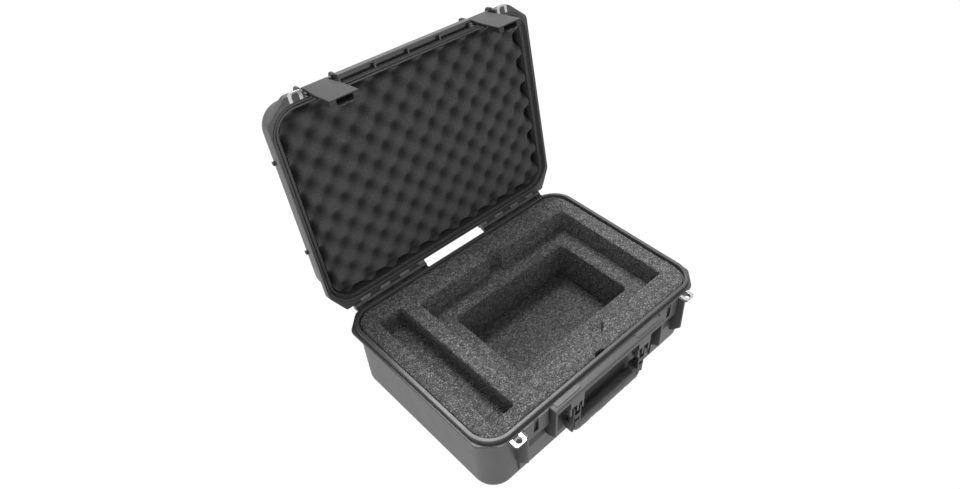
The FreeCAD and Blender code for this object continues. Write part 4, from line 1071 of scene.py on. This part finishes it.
@dataclass
class LidShell:
    """Upper moulding, drawn closed: dome, rim, flange, front channel, ears, knuckles, ribs."""

    maker: Maker

    def piece(self, name: str, skin: Skin, bevel: float = 0.0,
              replaces: Sequence[str] = ()) -> None:
        """Makes one piece of the moulding."""
        self.maker.piece(name, skin, "shell_plastic", Body.LID, Slot.SHELL, replaces, bevel, True)

    def dome(self) -> None:
        """Dome with its lip, seal groove and skirt, as one closed surface."""
        quarter = np.radians(np.linspace(0.0, 90.0, 8))
        top, wall = CASE.lid_top, CASE.wall
        inner_edge = CASE.edge - wall
        inside = np.stack([-inner_edge * (1 - np.sin(quarter)),
                           top - wall - inner_edge * (1 - np.cos(quarter))], axis=-1)
        inside = np.concatenate([inside, [[0.0, 160.0], [0.0, 136.2]]])
        outside = np.stack([-CASE.edge * (1 - np.cos(quarter)),
                            top - CASE.edge * (1 - np.sin(quarter))], axis=-1)
        outside = np.concatenate([[[0.0, 140.0], [0.0, 160.0]], outside])

        def leaning(profile: Array, offset: float) -> Array:
            out = profile[:, 0] + offset - np.abs(profile[:, 1] - CASE.lid_lip) * CASE.lean
            return even_sections(np.stack([out, profile[:, 1]], axis=-1))

        rim = rounded([(0.0, 135.3), (4.3, 135.3), (4.3, 138.5), (7.7, 138.5), (7.7, 135.3),
                       (8.5, 135.3), (8.5, 128.5), (12.8, 128.5), (12.8, 140.0)],
                      [0.6, 0.3, 0.3, 0.3, 0.2, 0.1, 0.6, 0.0, 0.0], steps=4)
        loop = RoundedLoop()
        rings = np.concatenate([loop.rings(leaning(inside, 0.0)), loop.rings(rim_sections(rim)),
                                loop.rings(even_sections(np.array([[3.6, 140.0]]))),
                                loop.rings(leaning(outside, wall))])
        skin = Skin()
        skin.tube(rings)
        self.piece("lid_dome", skin, replaces=["lid_shell"])

    def flange(self) -> None:
        """Flange round the skirt, with its chamfered corners and the corner blocks."""
        x, front, back = 248.5, -179.0, 179.0
        right = [(224.63, front), (x, -159.0), (x, 146.0), (229.4, back)]
        outline = rounded(right + [(-px, py) for px, py in reversed(right)], [6, 12, 12, 8] * 2, 8)
        inner = RoundedLoop(30).rings(rim_sections(np.array([[11.0, 0.0]])))[0, :, :2]
        skin = Skin()
        skin.rim_plate(inner, outline, CASE.skirt_bottom, CASE.lid_flange_top, 1.0)
        self.piece("lid_flange", skin)
        corner = Skin()
        corner.prism(rounded([(CASE.bay_outer + 0.05, -174.2), (CASE.bay_outer + 0.05, -190.0),
                              (211.5, -190.0), (226.5, -177.43), (226.5, -174.2)],
                             [0, 1.5, 12.0, 0, 0], 8),
                     Along.Z, CASE.skirt_bottom + 0.02, CASE.lid_flange_top - 0.02)
        corner.prism([(66.0, 176.0), (214.5, 176.0), (214.5, 181.5), (66.0, 181.5)], Along.Z,
                     CASE.skirt_bottom + 0.02, CASE.lid_flange_top - 0.02)
        corner.prism(rounded([(214.0, 176.0), (229.0, 176.0), (229.0, 179.68), (226.5, 184.0),
                              (214.0, 184.0)], [0, 0, 0, 6.0, 0], 5),
                     Along.Z, CASE.skirt_bottom + 0.02, CASE.lid_flange_top - 0.02)
        self.piece("lid_corner_blocks", corner.mirrored(), 0.8)

    def channel(self) -> None:
        """Front lip of the lid with the channel behind it, its webs and pockets."""
        low, high, roof = CASE.skirt_bottom, CASE.lid_flange_top, 137.1
        end = CASE.bay_inner - 3.4
        front = Skin()
        front.prism(rounded([(-191.5, low), (-191.5, high), (-187.6, high), (-187.6, low)],
                            [1.0, 1.5, 0, 0.6]), Along.X, -CASE.bay_inner, CASE.bay_inner)
        front.prism([(-187.7, roof), (-187.7, high - 0.03), (-176.0, high - 0.03), (-176.0, roof)],
                    Along.X, -CASE.bay_inner, CASE.bay_inner)
        self.piece("lid_front_lip", front, 0.6)
        web = Skin()
        places = [-62.3, 0.0, 62.3]
        starts = [-end] + [place - 1.5 for place in places]
        stops = [place - 1.5 - 8.0 for place in places] + [end - 8.0]
        for x0, x1 in zip(starts, stops):
            web.block((x0, x1), (-187.7, -184.0), (low + 0.03, roof + 0.5))
        for place in places:
            web.block((place - 1.5, place + 1.5), (-187.7, -178.5), (low + 0.05, roof + 0.5))
        for sign in (-1, 1):
            web.block((sign * end, sign * (CASE.bay_inner - 0.03)), (-187.7, -178.5),
                      (low + 0.05, roof + 0.5))
        self.piece("lid_channel_webs", web, 0.35)

    def ears(self) -> None:
        """Ears that carry the latch pins, each with a boss towards its latch."""
        pin_y, pin_z = -183.2, 148.3
        tip = arc((-182.5, pin_z), 9.0, 180.0, 90.0, 10)
        outline = np.concatenate([[(-169.0, 139.5), (-191.5, 139.5)], tip, [(-169.0, 157.3)]])
        boss = arc((pin_y, pin_z), 3.3, 0.0, 360.0, 24)[:-1]
        skin = Skin()
        for x0, x1, b0, b1 in ((123.1, 126.5, 126.0, 134.5), (181.2, 184.6, 176.5, 181.6)):
            skin.prism(outline, Along.X, x0, x1)
            skin.prism(boss, Along.X, b0, b1)
        self.piece("latch_ears", skin.mirrored(), 0.7)

    def knuckles(self) -> None:
        """Hinge knuckles at the back of the lid."""
        y, z = CASE.hinge_y, CASE.hinge_z
        outline = np.concatenate([[(178.0, 128.6)], arc((y, z), 5.0, 190.0, 360.0, 16),
                                  rounded([(192.3, 131.5), (188.5, 139.9), (178.0, 139.9)],
                                          [2.0, 1.5, 0.0])])
        skin = Skin()
        for x0, x1 in ((66.0, 80.0), (100.0, 120.0), (140.0, 160.0), (180.0, 200.0)):
            skin.prism(outline, Along.X, x0 + 0.25, x1 - 0.25)
        hollow = arc((y, z), 5.3, 167.0, 118.0, 12)
        for x0, x1 in ((80.0, 100.0), (120.0, 140.0), (160.0, 180.0), (200.0, 214.0)):
            skin.prism(np.concatenate([[(178.0, 128.7)], hollow, [(184.8, 135.5), (178.0, 135.5)]]),
                       Along.X, x0 - 0.2, x1 + 0.2)
        self.piece("lid_knuckles", skin.mirrored(), 0.35)

    def stacking_ribs(self) -> None:
        """Short ribs round the top that keep stacked cases in line."""
        low, high = 178.0, 184.0
        out = (high - CASE.rim) * CASE.lean
        side_x = CASE.half_width + CASE.wall - out
        front_y = CASE.half_depth + CASE.wall - out
        skin = Skin()
        for y in (-82.0, 82.0):
            skin.block((side_x - 2.0, side_x + 3.5), (y - 3.0, y + 3.0), (low, high))
        for sign in (-1, 1):
            ends = sorted((sign * (front_y - 2.0), sign * (front_y + 3.5)))
            skin.block((63.0, 69.0), (ends[0], ends[1]), (low, high))
        self.piece("stacking_ribs", skin.mirrored(), 0.9)

    def seal(self) -> None:
        """Round seal: a circle carried round the rim."""
        turn = np.linspace(0.0, 2 * math.pi, 17)[:-1]
        profile = np.stack([6.0 + 1.5 * np.cos(turn), 136.65 + 1.5 * np.sin(turn)], axis=-1)
        skin = Skin()
        skin.sheet(RoundedLoop(24).rings(rim_sections(profile)), wrap_rows=True,
                   wrap_columns=True)
        self.maker.piece("rim_seal", skin, "seal_rubber", Body.LID, Slot.RUBBER, ["lid_seal"],
                         lid=True)

    def build(self) -> None:
        """Builds the whole upper moulding."""
        self.dome()
        self.flange()
        self.channel()
        self.ears()
        self.knuckles()
        self.stacking_ribs()
        self.seal()


@dataclass
class CrateFoam:
    """Egg-crate foam in the lid, drawn closed."""

    maker: Maker
    pitch_x: float = 46.3
    pitch_y: float = 48.6
    start_x: float = 20.9
    peak: float = 136.8
    deep: float = 8.5
    back: float = 189.0
    half_x: float = 232.4
    half_y: float = 163.9
    corner: float = 33.4
    step: float = 2.0

    def build(self) -> None:
        """Builds the foam.

        The face follows w = cos(X) * cos(Y), with X and Y counting whole turns from pit to pit:
        pits where w is 1, broad peaks where it is -1. The depth is ((w + 1) / 2) to the power
        1.5, and near the border the pits run deeper. Points beyond the rounded outline are moved
        to its nearest point, and the sides run back from there.
        """
        columns = int(2 * self.half_x / self.step)
        rows = int(2 * self.half_y / self.step)
        x, y = np.meshgrid(np.linspace(-self.half_x, self.half_x, columns),
                           np.linspace(-self.half_y, self.half_y, rows))
        reach_x = np.maximum(np.abs(x) - (self.half_x - self.corner), 0.0)
        reach_y = np.maximum(np.abs(y) - (self.half_y - self.corner), 0.0)
        far = np.hypot(reach_x, reach_y)
        pull = np.where(far > self.corner, self.corner / np.maximum(far, 1e-6), 1.0)
        x = np.sign(x) * (np.abs(x) - reach_x * (1.0 - pull))
        y = np.sign(y) * (np.abs(y) - reach_y * (1.0 - pull))
        wave = (np.cos(2 * math.pi * (x - self.start_x) / self.pitch_x)
                * np.cos(2 * math.pi * y / self.pitch_y))
        flat = np.stack([x, y, np.zeros_like(x)], axis=-1).reshape(-1, 3)
        crumb = lattice_noise(flat, 2.8, 5).reshape(x.shape)
        swell = lattice_noise(flat, 11.0, 6).reshape(x.shape)
        share = ((wave + 1.0) / 2.0) ** 1.5
        inner = np.minimum(self.half_x - np.abs(x), self.half_y - np.abs(y))
        edge = np.clip(1.0 - inner / 14.0, 0.0, 1.0)
        z = self.peak + self.deep * share * (1.0 + 2.2 * edge) + 0.3 * crumb + 0.5 * (swell + 1.0)
        face = np.stack([x, y, z], axis=-1)
        skin = Skin()
        numbers = skin.sheet(face)
        border = np.concatenate([numbers[0, :-1], numbers[:-1, -1], numbers[-1, :0:-1],
                                 numbers[:0:-1, 0]])
        ring = np.concatenate([face[0, :-1], face[:-1, -1], face[-1, :0:-1], face[:0:-1, 0]])
        levels = [np.concatenate([ring[:, :2], ring[:, 2:] * (1 - s) + self.back * s], axis=1)
                  for s in (0.0, 0.33, 0.66, 1.0)]
        wall = skin.sheet(np.stack(levels), wrap_columns=True)
        skin.faces.append(wall[-1].tolist())
        made = self.maker.piece("crate_foam", skin, "crate_foam", Body.LID, Slot.LID_FOAM,
                                ["lid_foam"], lid=True)
        LOG.info("egg-crate edge has %d points", len(border))
        self.mark_depth(made)

    def mark_depth(self, made: bpy.types.Object) -> None:
        """Stores each point's depth below the peaks, 0 to 1, for the finish's painted shade in the
        pits.
        """
        mesh = made.data
        points = np.empty(len(mesh.vertices) * 3, np.float32)
        mesh.vertices.foreach_get("co", points)
        points = points.reshape(-1, 3) / MM
        across = points[:, 1] - CASE.hinge_y
        above = points[:, 2] - CASE.hinge_z
        height = (CASE.hinge_z - across * math.sin(CASE.lid_turn)
                  + above * math.cos(CASE.lid_turn))
        depth = np.clip((height - self.peak) / self.deep, 0.0, 1.0)
        layer = mesh.attributes.new("pit_depth", "FLOAT", "POINT")
        layer.data.foreach_set("value", depth.astype(np.float32))


@dataclass
class Latch:
    """One latch with its trigger and spring, drawn closed and for the right side."""

    maker: Maker
    side: Side
    middle: float = 155.5
    half: float = 24.2
    neck: float = 20.7
    face: float = -186.5
    foot: float = 64.3
    pin_y: float = -183.2
    pin_z: float = 148.3
    plate: float = 1.9
    rim: float = 2.6
    inset: float = 1.6
    wall: float = 2.2
    finger: float = 13.5

    @property
    def body(self) -> Body:
        """Body of the latch plate."""
        return Body["LATCH_" + self.side.name]

    def channel(self, skin: Skin) -> None:
        """Latch plate with its side walls.

        Each station is a C outline under a wider plate, its points linear in the half width w
        and the depth d: x = sign * w + part of an arc, y = face + share * d + part of an arc. Up
        the plate, w eases from the foot's width to the neck's.

        Args:
            skin: Skin that takes the surface.
        """
        z = np.array([64.3, 65.0, 70.0, 76.3, 82.0, 88.0, 88.6, 94.0, 100.3, 107.0, 114.0, 121.0,
                      128.0, 135.0, 140.0, 144.2])
        share = np.clip((144.3 - z) / 44.0, 0.0, 1.0)
        half = self.neck + (self.half - self.neck) * share * share * (3.0 - 2.0 * share)
        depth = np.where(z < 88.3, 10.3, 6.4)
        i, p = self.inset, self.plate
        w = i + self.wall
        big = arc((0.0, 0.0), 1.6, 180.0, 270.0, 5) + 1.6
        small = arc((0.0, 0.0), 0.8, 270.0, 180.0, 3) + 0.8
        left = [(-1, i, 0.0, 1), (-1, i, self.rim, 0), (-1, 0.3, self.rim, 0)]
        left += [(-1, bx, by, 0) for bx, by in big]
        inner = [(-1, w + ix, p + iy, 0) for ix, iy in small]
        right = [(1, -bx, by, 0) for bx, by in big[::-1]]
        right += [(1, -0.3, self.rim, 0), (1, -i, self.rim, 0), (1, -i, 0.0, 1)]
        inner_right = [(1, -w, 0.0, 1)] + [(1, -w - ix, p + iy, 0) for ix, iy in small[::-1]]
        form = np.array(left + right + inner_right + inner + [(-1, w, 0.0, 1)])
        x = self.middle + form[:, 0] * half[:, None] + form[:, 1]
        y = self.face + form[:, 2] + form[:, 3] * depth[:, None]
        skin.tube(np.stack([x, y, np.broadcast_to(z[:, None], x.shape)], axis=-1))

    def build_plate(self) -> None:
        """Latch plate, its barrel and the two end tabs."""
        skin = Skin()
        self.channel(skin)
        self.maker.piece(f"latch_plate_{self.side.word}", skin.placed(self.side), "latch_plastic",
                         self.body, Slot.LATCH, [f"latch_body_{self.side.word}"], 0.4, True)
        head = Skin()
        outline = np.concatenate([[(self.face, 143.0)],
                                  arc((self.pin_y, self.pin_z), 3.3, 180.0, -45.0, 16),
                                  [(-182.6, 143.0)]])
        head.prism(outline, Along.X, self.middle - self.neck, self.middle + self.neck)
        inner, outer = self.middle - self.half, self.middle + self.half
        for x0, x1 in ((inner + 0.2, self.middle - self.finger),
                       (self.middle + self.finger, outer - 0.2)):
            head.block((x0, x1), (self.face + 0.7, self.face + 10.25), (self.foot + 0.1, 76.3))
        self.maker.piece(f"latch_head_{self.side.word}", head.placed(self.side), "latch_plastic",
                         self.body, Slot.LATCH, (), 0.9, True)

    def build_trigger(self) -> None:
        """Trigger lever: a broad upper plate, a tongue with a wavy lip and two hooks."""
        x0, x1 = 135.6, 175.4
        y, z = -182.3, 93.5
        skin = Skin()
        skin.prism([(-183.65, z), (-179.85, 78.3), (-178.25, 78.3), (-182.05, z)], Along.X, x0,
                   x1)
        half = 4.5
        for start, end in ((x0, self.middle - half), (self.middle + half, x1)):
            skin.prism(arc((y, z), 1.95, 0.0, 360.0, 20)[:-1], Along.X, start, end)
        hook = [(-183.6, z), (-180.0, 90.6), (-180.0, 90.8), (-179.6, 90.8), (-171.6, 93.7),
                (-171.6, 89.2), (-177.0, 81.3), (-179.9, 79.3)]
        for start, end in ((x0, x0 + 8.0), (x1 - 8.0, x1)):
            skin.prism(hook, Along.X, start, end)
        part = f"trigger_lever_{self.side.word}"
        body = Body["TRIGGER_" + self.side.name]
        self.maker.piece(part, skin.placed(self.side), "latch_plastic", body, Slot.LATCH,
                         [f"latch_trigger_{self.side.word}"], 0.35, True)
        self.maker.piece(f"trigger_lip_{self.side.word}", self.tongue().placed(self.side),
                         "latch_plastic", body, Slot.LATCH, (), 0.25, True)

    def tongue(self) -> Skin:
        """Tongue of the trigger.

        Down the tongue the plate leans towards the case; across it, the free edge rises and falls
        by a cosine with two waves, which fades out upwards.

        Returns:
            The skin of the tongue.
        """
        across = np.linspace(-12.3, 12.3, 33)
        down = np.linspace(0.0, 1.0, 12)
        x = np.broadcast_to(self.middle + across, (12, 33))
        z = 79.0 + (60.5 - 79.0) * down[:, None] + np.zeros_like(x)
        wave = -0.8 * np.cos(2 * math.pi * across / 12.3) * down[:, None] ** 3
        lean = -180.0 + (-176.2 + 180.0) * down[:, None]
        front = np.stack([x, lean + wave, z], axis=-1)
        back = np.stack([x, lean + wave + 1.6, z], axis=-1)
        skin = Skin()
        skin.tube(np.concatenate([front, back[:, ::-1]], axis=1))
        return skin

    def build_spring(self) -> None:
        """Torsion spring: wire wound round the trigger's pin, with a straight leg at each end."""
        turns, wire, radius = 8.5, 0.32, 1.65
        turn = np.linspace(0.0, 2 * math.pi * turns, 170)
        line = np.stack([self.middle - 4.0 + 8.0 * turn / turn[-1],
                         -182.3 + radius * np.cos(turn), 93.5 + radius * np.sin(turn)], axis=-1)
        legs = [line[0] + np.array([0.0, 0.3, -6.0]), line[-1] + np.array([0.0, 0.2, 7.0])]
        line = np.concatenate([legs[:1], line, legs[1:]])
        ahead = np.gradient(line, axis=0)
        ahead /= np.linalg.norm(ahead, axis=1)[:, None]
        side = np.cross(ahead, np.array([1.0, 0.0, 0.0]))
        side /= np.linalg.norm(side, axis=1)[:, None]
        up = np.cross(side, ahead)
        ring = np.linspace(0.0, 2 * math.pi, 9)[:-1]
        tube = (line[:, None] + wire * np.cos(ring)[None, :, None] * side[:, None]
                + wire * np.sin(ring)[None, :, None] * up[:, None])
        skin = Skin()
        skin.tube(tube)
        self.maker.piece(f"spring_wire_{self.side.word}", skin.placed(self.side), "pin_steel",
                         self.body, Slot.STEEL, [f"trigger_spring_{self.side.word}"], lid=True)

    def build(self) -> None:
        """Builds the latch."""
        self.build_plate()
        self.build_trigger()
        self.build_spring()


@dataclass
class Handle:
    """Carrying handle: ladder-shaped arms with deep cheeks, and a soft grip."""

    maker: Maker
    half: float = 82.2
    bottom: float = 20.0
    top: float = 50.0
    bar: float = 24.0
    arm: float = 16.5
    depth: float = 22.0
    centre_y: float = -179.2

    def arms(self) -> None:
        """Inner rail, outer cheek and two webs on each side."""
        y, z, face = -183.0, 89.0, -190.0
        eye = arc((y, z), 5.0, 0.0, 120.0, 10)
        rail = np.concatenate([[(face, 33.0), (-184.0, 33.0), (-184.0, 74.0)], eye,
                               [(face, 88.0)]])
        back = self.centre_y + self.depth / 2.0
        foot = rounded([(face, 30.0), (back, 30.0), (back, 66.0)], [2.5, 9.0, 6.0], 6)
        cheek = np.concatenate([foot, eye, [(face, 88.0)]])
        skin = Skin()
        skin.prism(rail, Along.X, 69.0, 72.3)
        skin.prism(cheek, Along.X, 82.5, 85.8)
        for z0, z1 in ((63.0, 73.5), (40.0, 57.0)):
            skin.block((72.0, 82.7), (-189.9, -184.1), (z0, z1))
        self.maker.piece("handle_arms", skin.mirrored(), "latch_plastic", Body.HANDLE, Slot.LATCH,
                         ["handle_frame"], 0.6)

    def grip(self) -> None:
        """Soft grip along a U path.

        The path has an outer and an inner line in the x, z plane, each a U with rounded corners
        and sampled in step. Every section is a rounded oblong between the two lines:
        c + (o - i) / 2 * s(cos t) and y + depth / 2 * s(sin t), where s(v) is sign(v) times |v|
        to the power 0.6. Low swells of noise make the surface lumpy.
        """
        outer = self.path(self.half, self.bottom, 13.0)
        inner = self.path(self.half - self.arm, self.bottom + self.bar, 4.0)
        turn = np.linspace(0.0, 2 * math.pi, 41)[:-1]
        round_cos = np.sign(np.cos(turn)) * np.abs(np.cos(turn)) ** 0.6
        round_sin = np.sign(np.sin(turn)) * np.abs(np.sin(turn)) ** 0.6
        middle, reach = (outer + inner) / 2.0, (outer - inner) / 2.0
        x = middle[:, 0, None] + reach[:, 0, None] * round_cos
        z = middle[:, 1, None] + reach[:, 1, None] * round_cos
        y = self.centre_y + self.depth / 2.0 * round_sin + np.zeros_like(x)
        grid = np.stack([x, y, z], axis=-1)
        centre = np.stack([middle[:, 0], np.full(len(middle), self.centre_y), middle[:, 1]],
                          axis=-1)[:, None]
        flat = grid.reshape(-1, 3)
        swell = 0.6 * lattice_noise(flat, 17.0, 11) + 0.4 * lattice_noise(flat, 7.0, 12)
        grid = centre + (grid - centre) * (0.91 + 0.09 * swell.reshape(x.shape)[..., None])
        shrink = np.array([0.72, 0.9, 0.98])[:, None, None]
        first = centre[0] + (grid[0] - centre[0]) * shrink
        last = centre[-1] + (grid[-1] - centre[-1]) * shrink[::-1]
        lift = np.array([1.2, 0.7, 0.25])
        first[..., 2] += lift[:, None]
        last[..., 2] += lift[::-1, None]
        skin = Skin()
        skin.tube(np.concatenate([first, grid, last]))
        self.maker.piece("handle_grip_cover", skin, "grip_rubber", Body.HANDLE, Slot.RUBBER,
                         ["handle_grip"])

    def path(self, half: float, low: float, radius: float) -> Array:
        """One line of the U: down the left side, round the corner, along, and up again."""
        top = self.top - 1.3
        left = np.stack([np.full(8, -half), np.linspace(top, low + radius, 8)], axis=-1)
        corner = arc((-half + radius, low + radius), radius, 180.0, 270.0, 12)
        along = np.linspace(-half + radius, half - radius, 72)[1:-1]
        floor = np.stack([along, np.full(70, low)], axis=-1)
        right = np.concatenate([left, corner])[::-1] * np.array([-1.0, 1.0])
        return np.concatenate([left[:-1], corner, floor, right[:13], right[14:]])

    def build(self) -> None:
        """Builds the handle."""
        self.arms()
        self.grip()


class Studio:
    """Camera, lights, world and floor."""

    def camera(self) -> None:
        """Places the camera at the photograph's viewing angle."""
        azimuth, elevation, roll = (math.radians(a) for a in (45.501, 40.397, -0.241))
        forward = np.array([math.sin(azimuth) * math.cos(elevation),
                            math.cos(azimuth) * math.cos(elevation), -math.sin(elevation)])
        right = np.array([math.cos(azimuth), -math.sin(azimuth), 0.0])
        down = np.cross(forward, right)
        right, down = (math.cos(roll) * right + math.sin(roll) * down,
                       -math.sin(roll) * right + math.cos(roll) * down)
        data = bpy.data.cameras.new("view")
        data.sensor_width = 36.0
        data.lens = 27.927
        data.shift_x = -0.0689
        data.shift_y = -0.0296
        data.clip_end = 50.0
        eye = bpy.data.objects.new("view", data)
        bpy.context.scene.collection.objects.link(eye)
        turn = np.stack([right, -down, -forward], axis=-1)
        place = Matrix(turn.tolist()).to_4x4()
        place.translation = (-0.590405, -0.624895, 1.041053)
        eye.matrix_world = place
        bpy.context.scene.camera = eye

    def lamp(self, name: str, place: tuple[float, float, float], size: float,
             power: float) -> None:
        """Adds a square soft light that looks at the middle of the case."""
        data = bpy.data.lights.new(name, "AREA")
        data.size = size
        data.energy = power
        lamp = bpy.data.objects.new(name, data)
        bpy.context.scene.collection.objects.link(lamp)
        away = np.array(place) - np.array([0.0, 0.0, 0.15])
        away /= np.linalg.norm(away)
        side = np.cross([0.0, 1.0, 0.0], away)
        side /= np.linalg.norm(side)
        turn = Matrix(np.stack([side, np.cross(away, side), away], axis=-1).tolist()).to_4x4()
        turn.translation = place
        lamp.matrix_world = turn

    def background(self) -> None:
        """World light of a plain level; seen directly or mirrored, it is white."""
        world = bpy.data.worlds.new("studio")
        bpy.context.scene.world = world
        world.use_nodes = True
        board = Board(world.node_tree)
        rays = board.node("ShaderNodeLightPath")
        seen = board.sum("MAXIMUM", rays.outputs["Is Camera Ray"],
                         board.sum("MAXIMUM", rays.outputs["Is Glossy Ray"],
                                   rays.outputs["Is Transmission Ray"]))
        light = board.node("ShaderNodeBackground")
        light.inputs["Color"].default_value = (1.0, 1.0, 1.0, 1.0)
        board.feed(light.inputs["Strength"], board.span(seen, 0.0, 1.0, 0.3, 1.0))
        out = board.node("ShaderNodeOutputWorld")
        board.feed(out.inputs["Surface"], light.outputs[0])

    def floor(self) -> None:
        """Pale floor that keeps a soft shadow and otherwise meets the white background."""
        mesh = bpy.data.meshes.new("studio_floor")
        far = 6.0
        corners = [(-far, -far, -0.0005), (far, -far, -0.0005), (far, far, -0.0005),
                   (-far, far, -0.0005)]
        mesh.from_pydata(corners, [], [(0, 1, 2, 3)])
        material = bpy.data.materials.new("pale_floor")
        material.use_nodes = True
        board = Board(material.node_tree)
        paint = board.node("ShaderNodeBsdfDiffuse")
        paint.inputs["Color"].default_value = (0.86, 0.86, 0.86, 1.0)
        glow = board.node("ShaderNodeEmission")
        glow.inputs["Strength"].default_value = 1.03
        rays = board.node("ShaderNodeLightPath")
        seen = board.sum("MAXIMUM", rays.outputs["Is Camera Ray"],
                         board.sum("MAXIMUM", rays.outputs["Is Glossy Ray"],
                                   rays.outputs["Is Transmission Ray"]))
        mix = board.node("ShaderNodeMixShader")
        board.feed(mix.inputs[0], board.sum("MULTIPLY", seen, 0.97))
        board.feed(mix.inputs[1], paint.outputs[0])
        board.feed(mix.inputs[2], glow.outputs[0])
        out = board.node("ShaderNodeOutputMaterial")
        board.feed(out.inputs["Surface"], mix.outputs[0])
        mesh.materials.append(material)
        plane = bpy.data.objects.new("studio_floor", mesh)
        bpy.context.scene.collection.objects.link(plane)

    def build(self) -> None:
        """Sets up the studio."""
        self.camera()
        self.background()
        self.floor()
        self.lamp("key", (0.5, 1.1, 2.3), 0.9, 64.0)
        self.lamp("left_fill", (-2.0, -0.5, 0.35), 1.0, 7.0)
        self.lamp("left_bounce", (-0.9, -0.3, 0.03), 0.4, 1.6)
        self.lamp("front_fill", (0.5, -2.2, 0.9), 1.2, 11.0)
        bpy.context.scene.view_settings.view_transform = "Standard"


def dress_nodes(palette: Palette) -> None:
    """Gives the nodes that stay visible their finishes."""
    finishes = {"hinge_pins": "pin_steel", "handle_pins": "pin_steel",
                "valve_body": "latch_plastic", "valve_seal": "seal_rubber",
                "valve_nut": "latch_plastic"}
    for side in Side:
        finishes[f"latch_pin_{side.word}"] = "pin_steel"
        finishes[f"trigger_pin_{side.word}"] = "pin_steel"
    for node, finish in finishes.items():
        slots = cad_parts[node].data.materials
        slots.clear()
        slots.append(palette[finish])
        LOG.info("%s dressed with %s", node, finish)


def main() -> None:
    """Builds the case piece by piece."""
    logging.basicConfig(level=logging.INFO, format="%(name)s: %(message)s")
    Studio().build()
    palette = Palette(Effects())
    maker = Maker(palette)
    BaseShell(maker).build()
    LidShell(maker).build()
    maker.piece("base_plates", padlock_plate(126.5), "plate_stainless", Body.BASE, Slot.PLATE,
                ["base_protector_plates"], 0.3)
    maker.piece("lid_plates", padlock_plate(128.5), "plate_stainless", Body.LID, Slot.PLATE,
                ["lid_protector_plates"], 0.3, True)
    CrateFoam(maker).build()
    maker.foam_piece("foam_upper", "base_foam_upper", 2.6, 0.5, 21)
    maker.foam_piece("foam_lower", "base_foam_lower", 3.4, 0.5, 22)
    maker.foam_piece("foam_floor_pad", "base_foam_pad", 3.4, 0.5, 23)
    for side in Side:
        Latch(maker, side).build()
    Handle(maker).build()
    dress_nodes(palette)


if __name__ == "__main__":
    main()
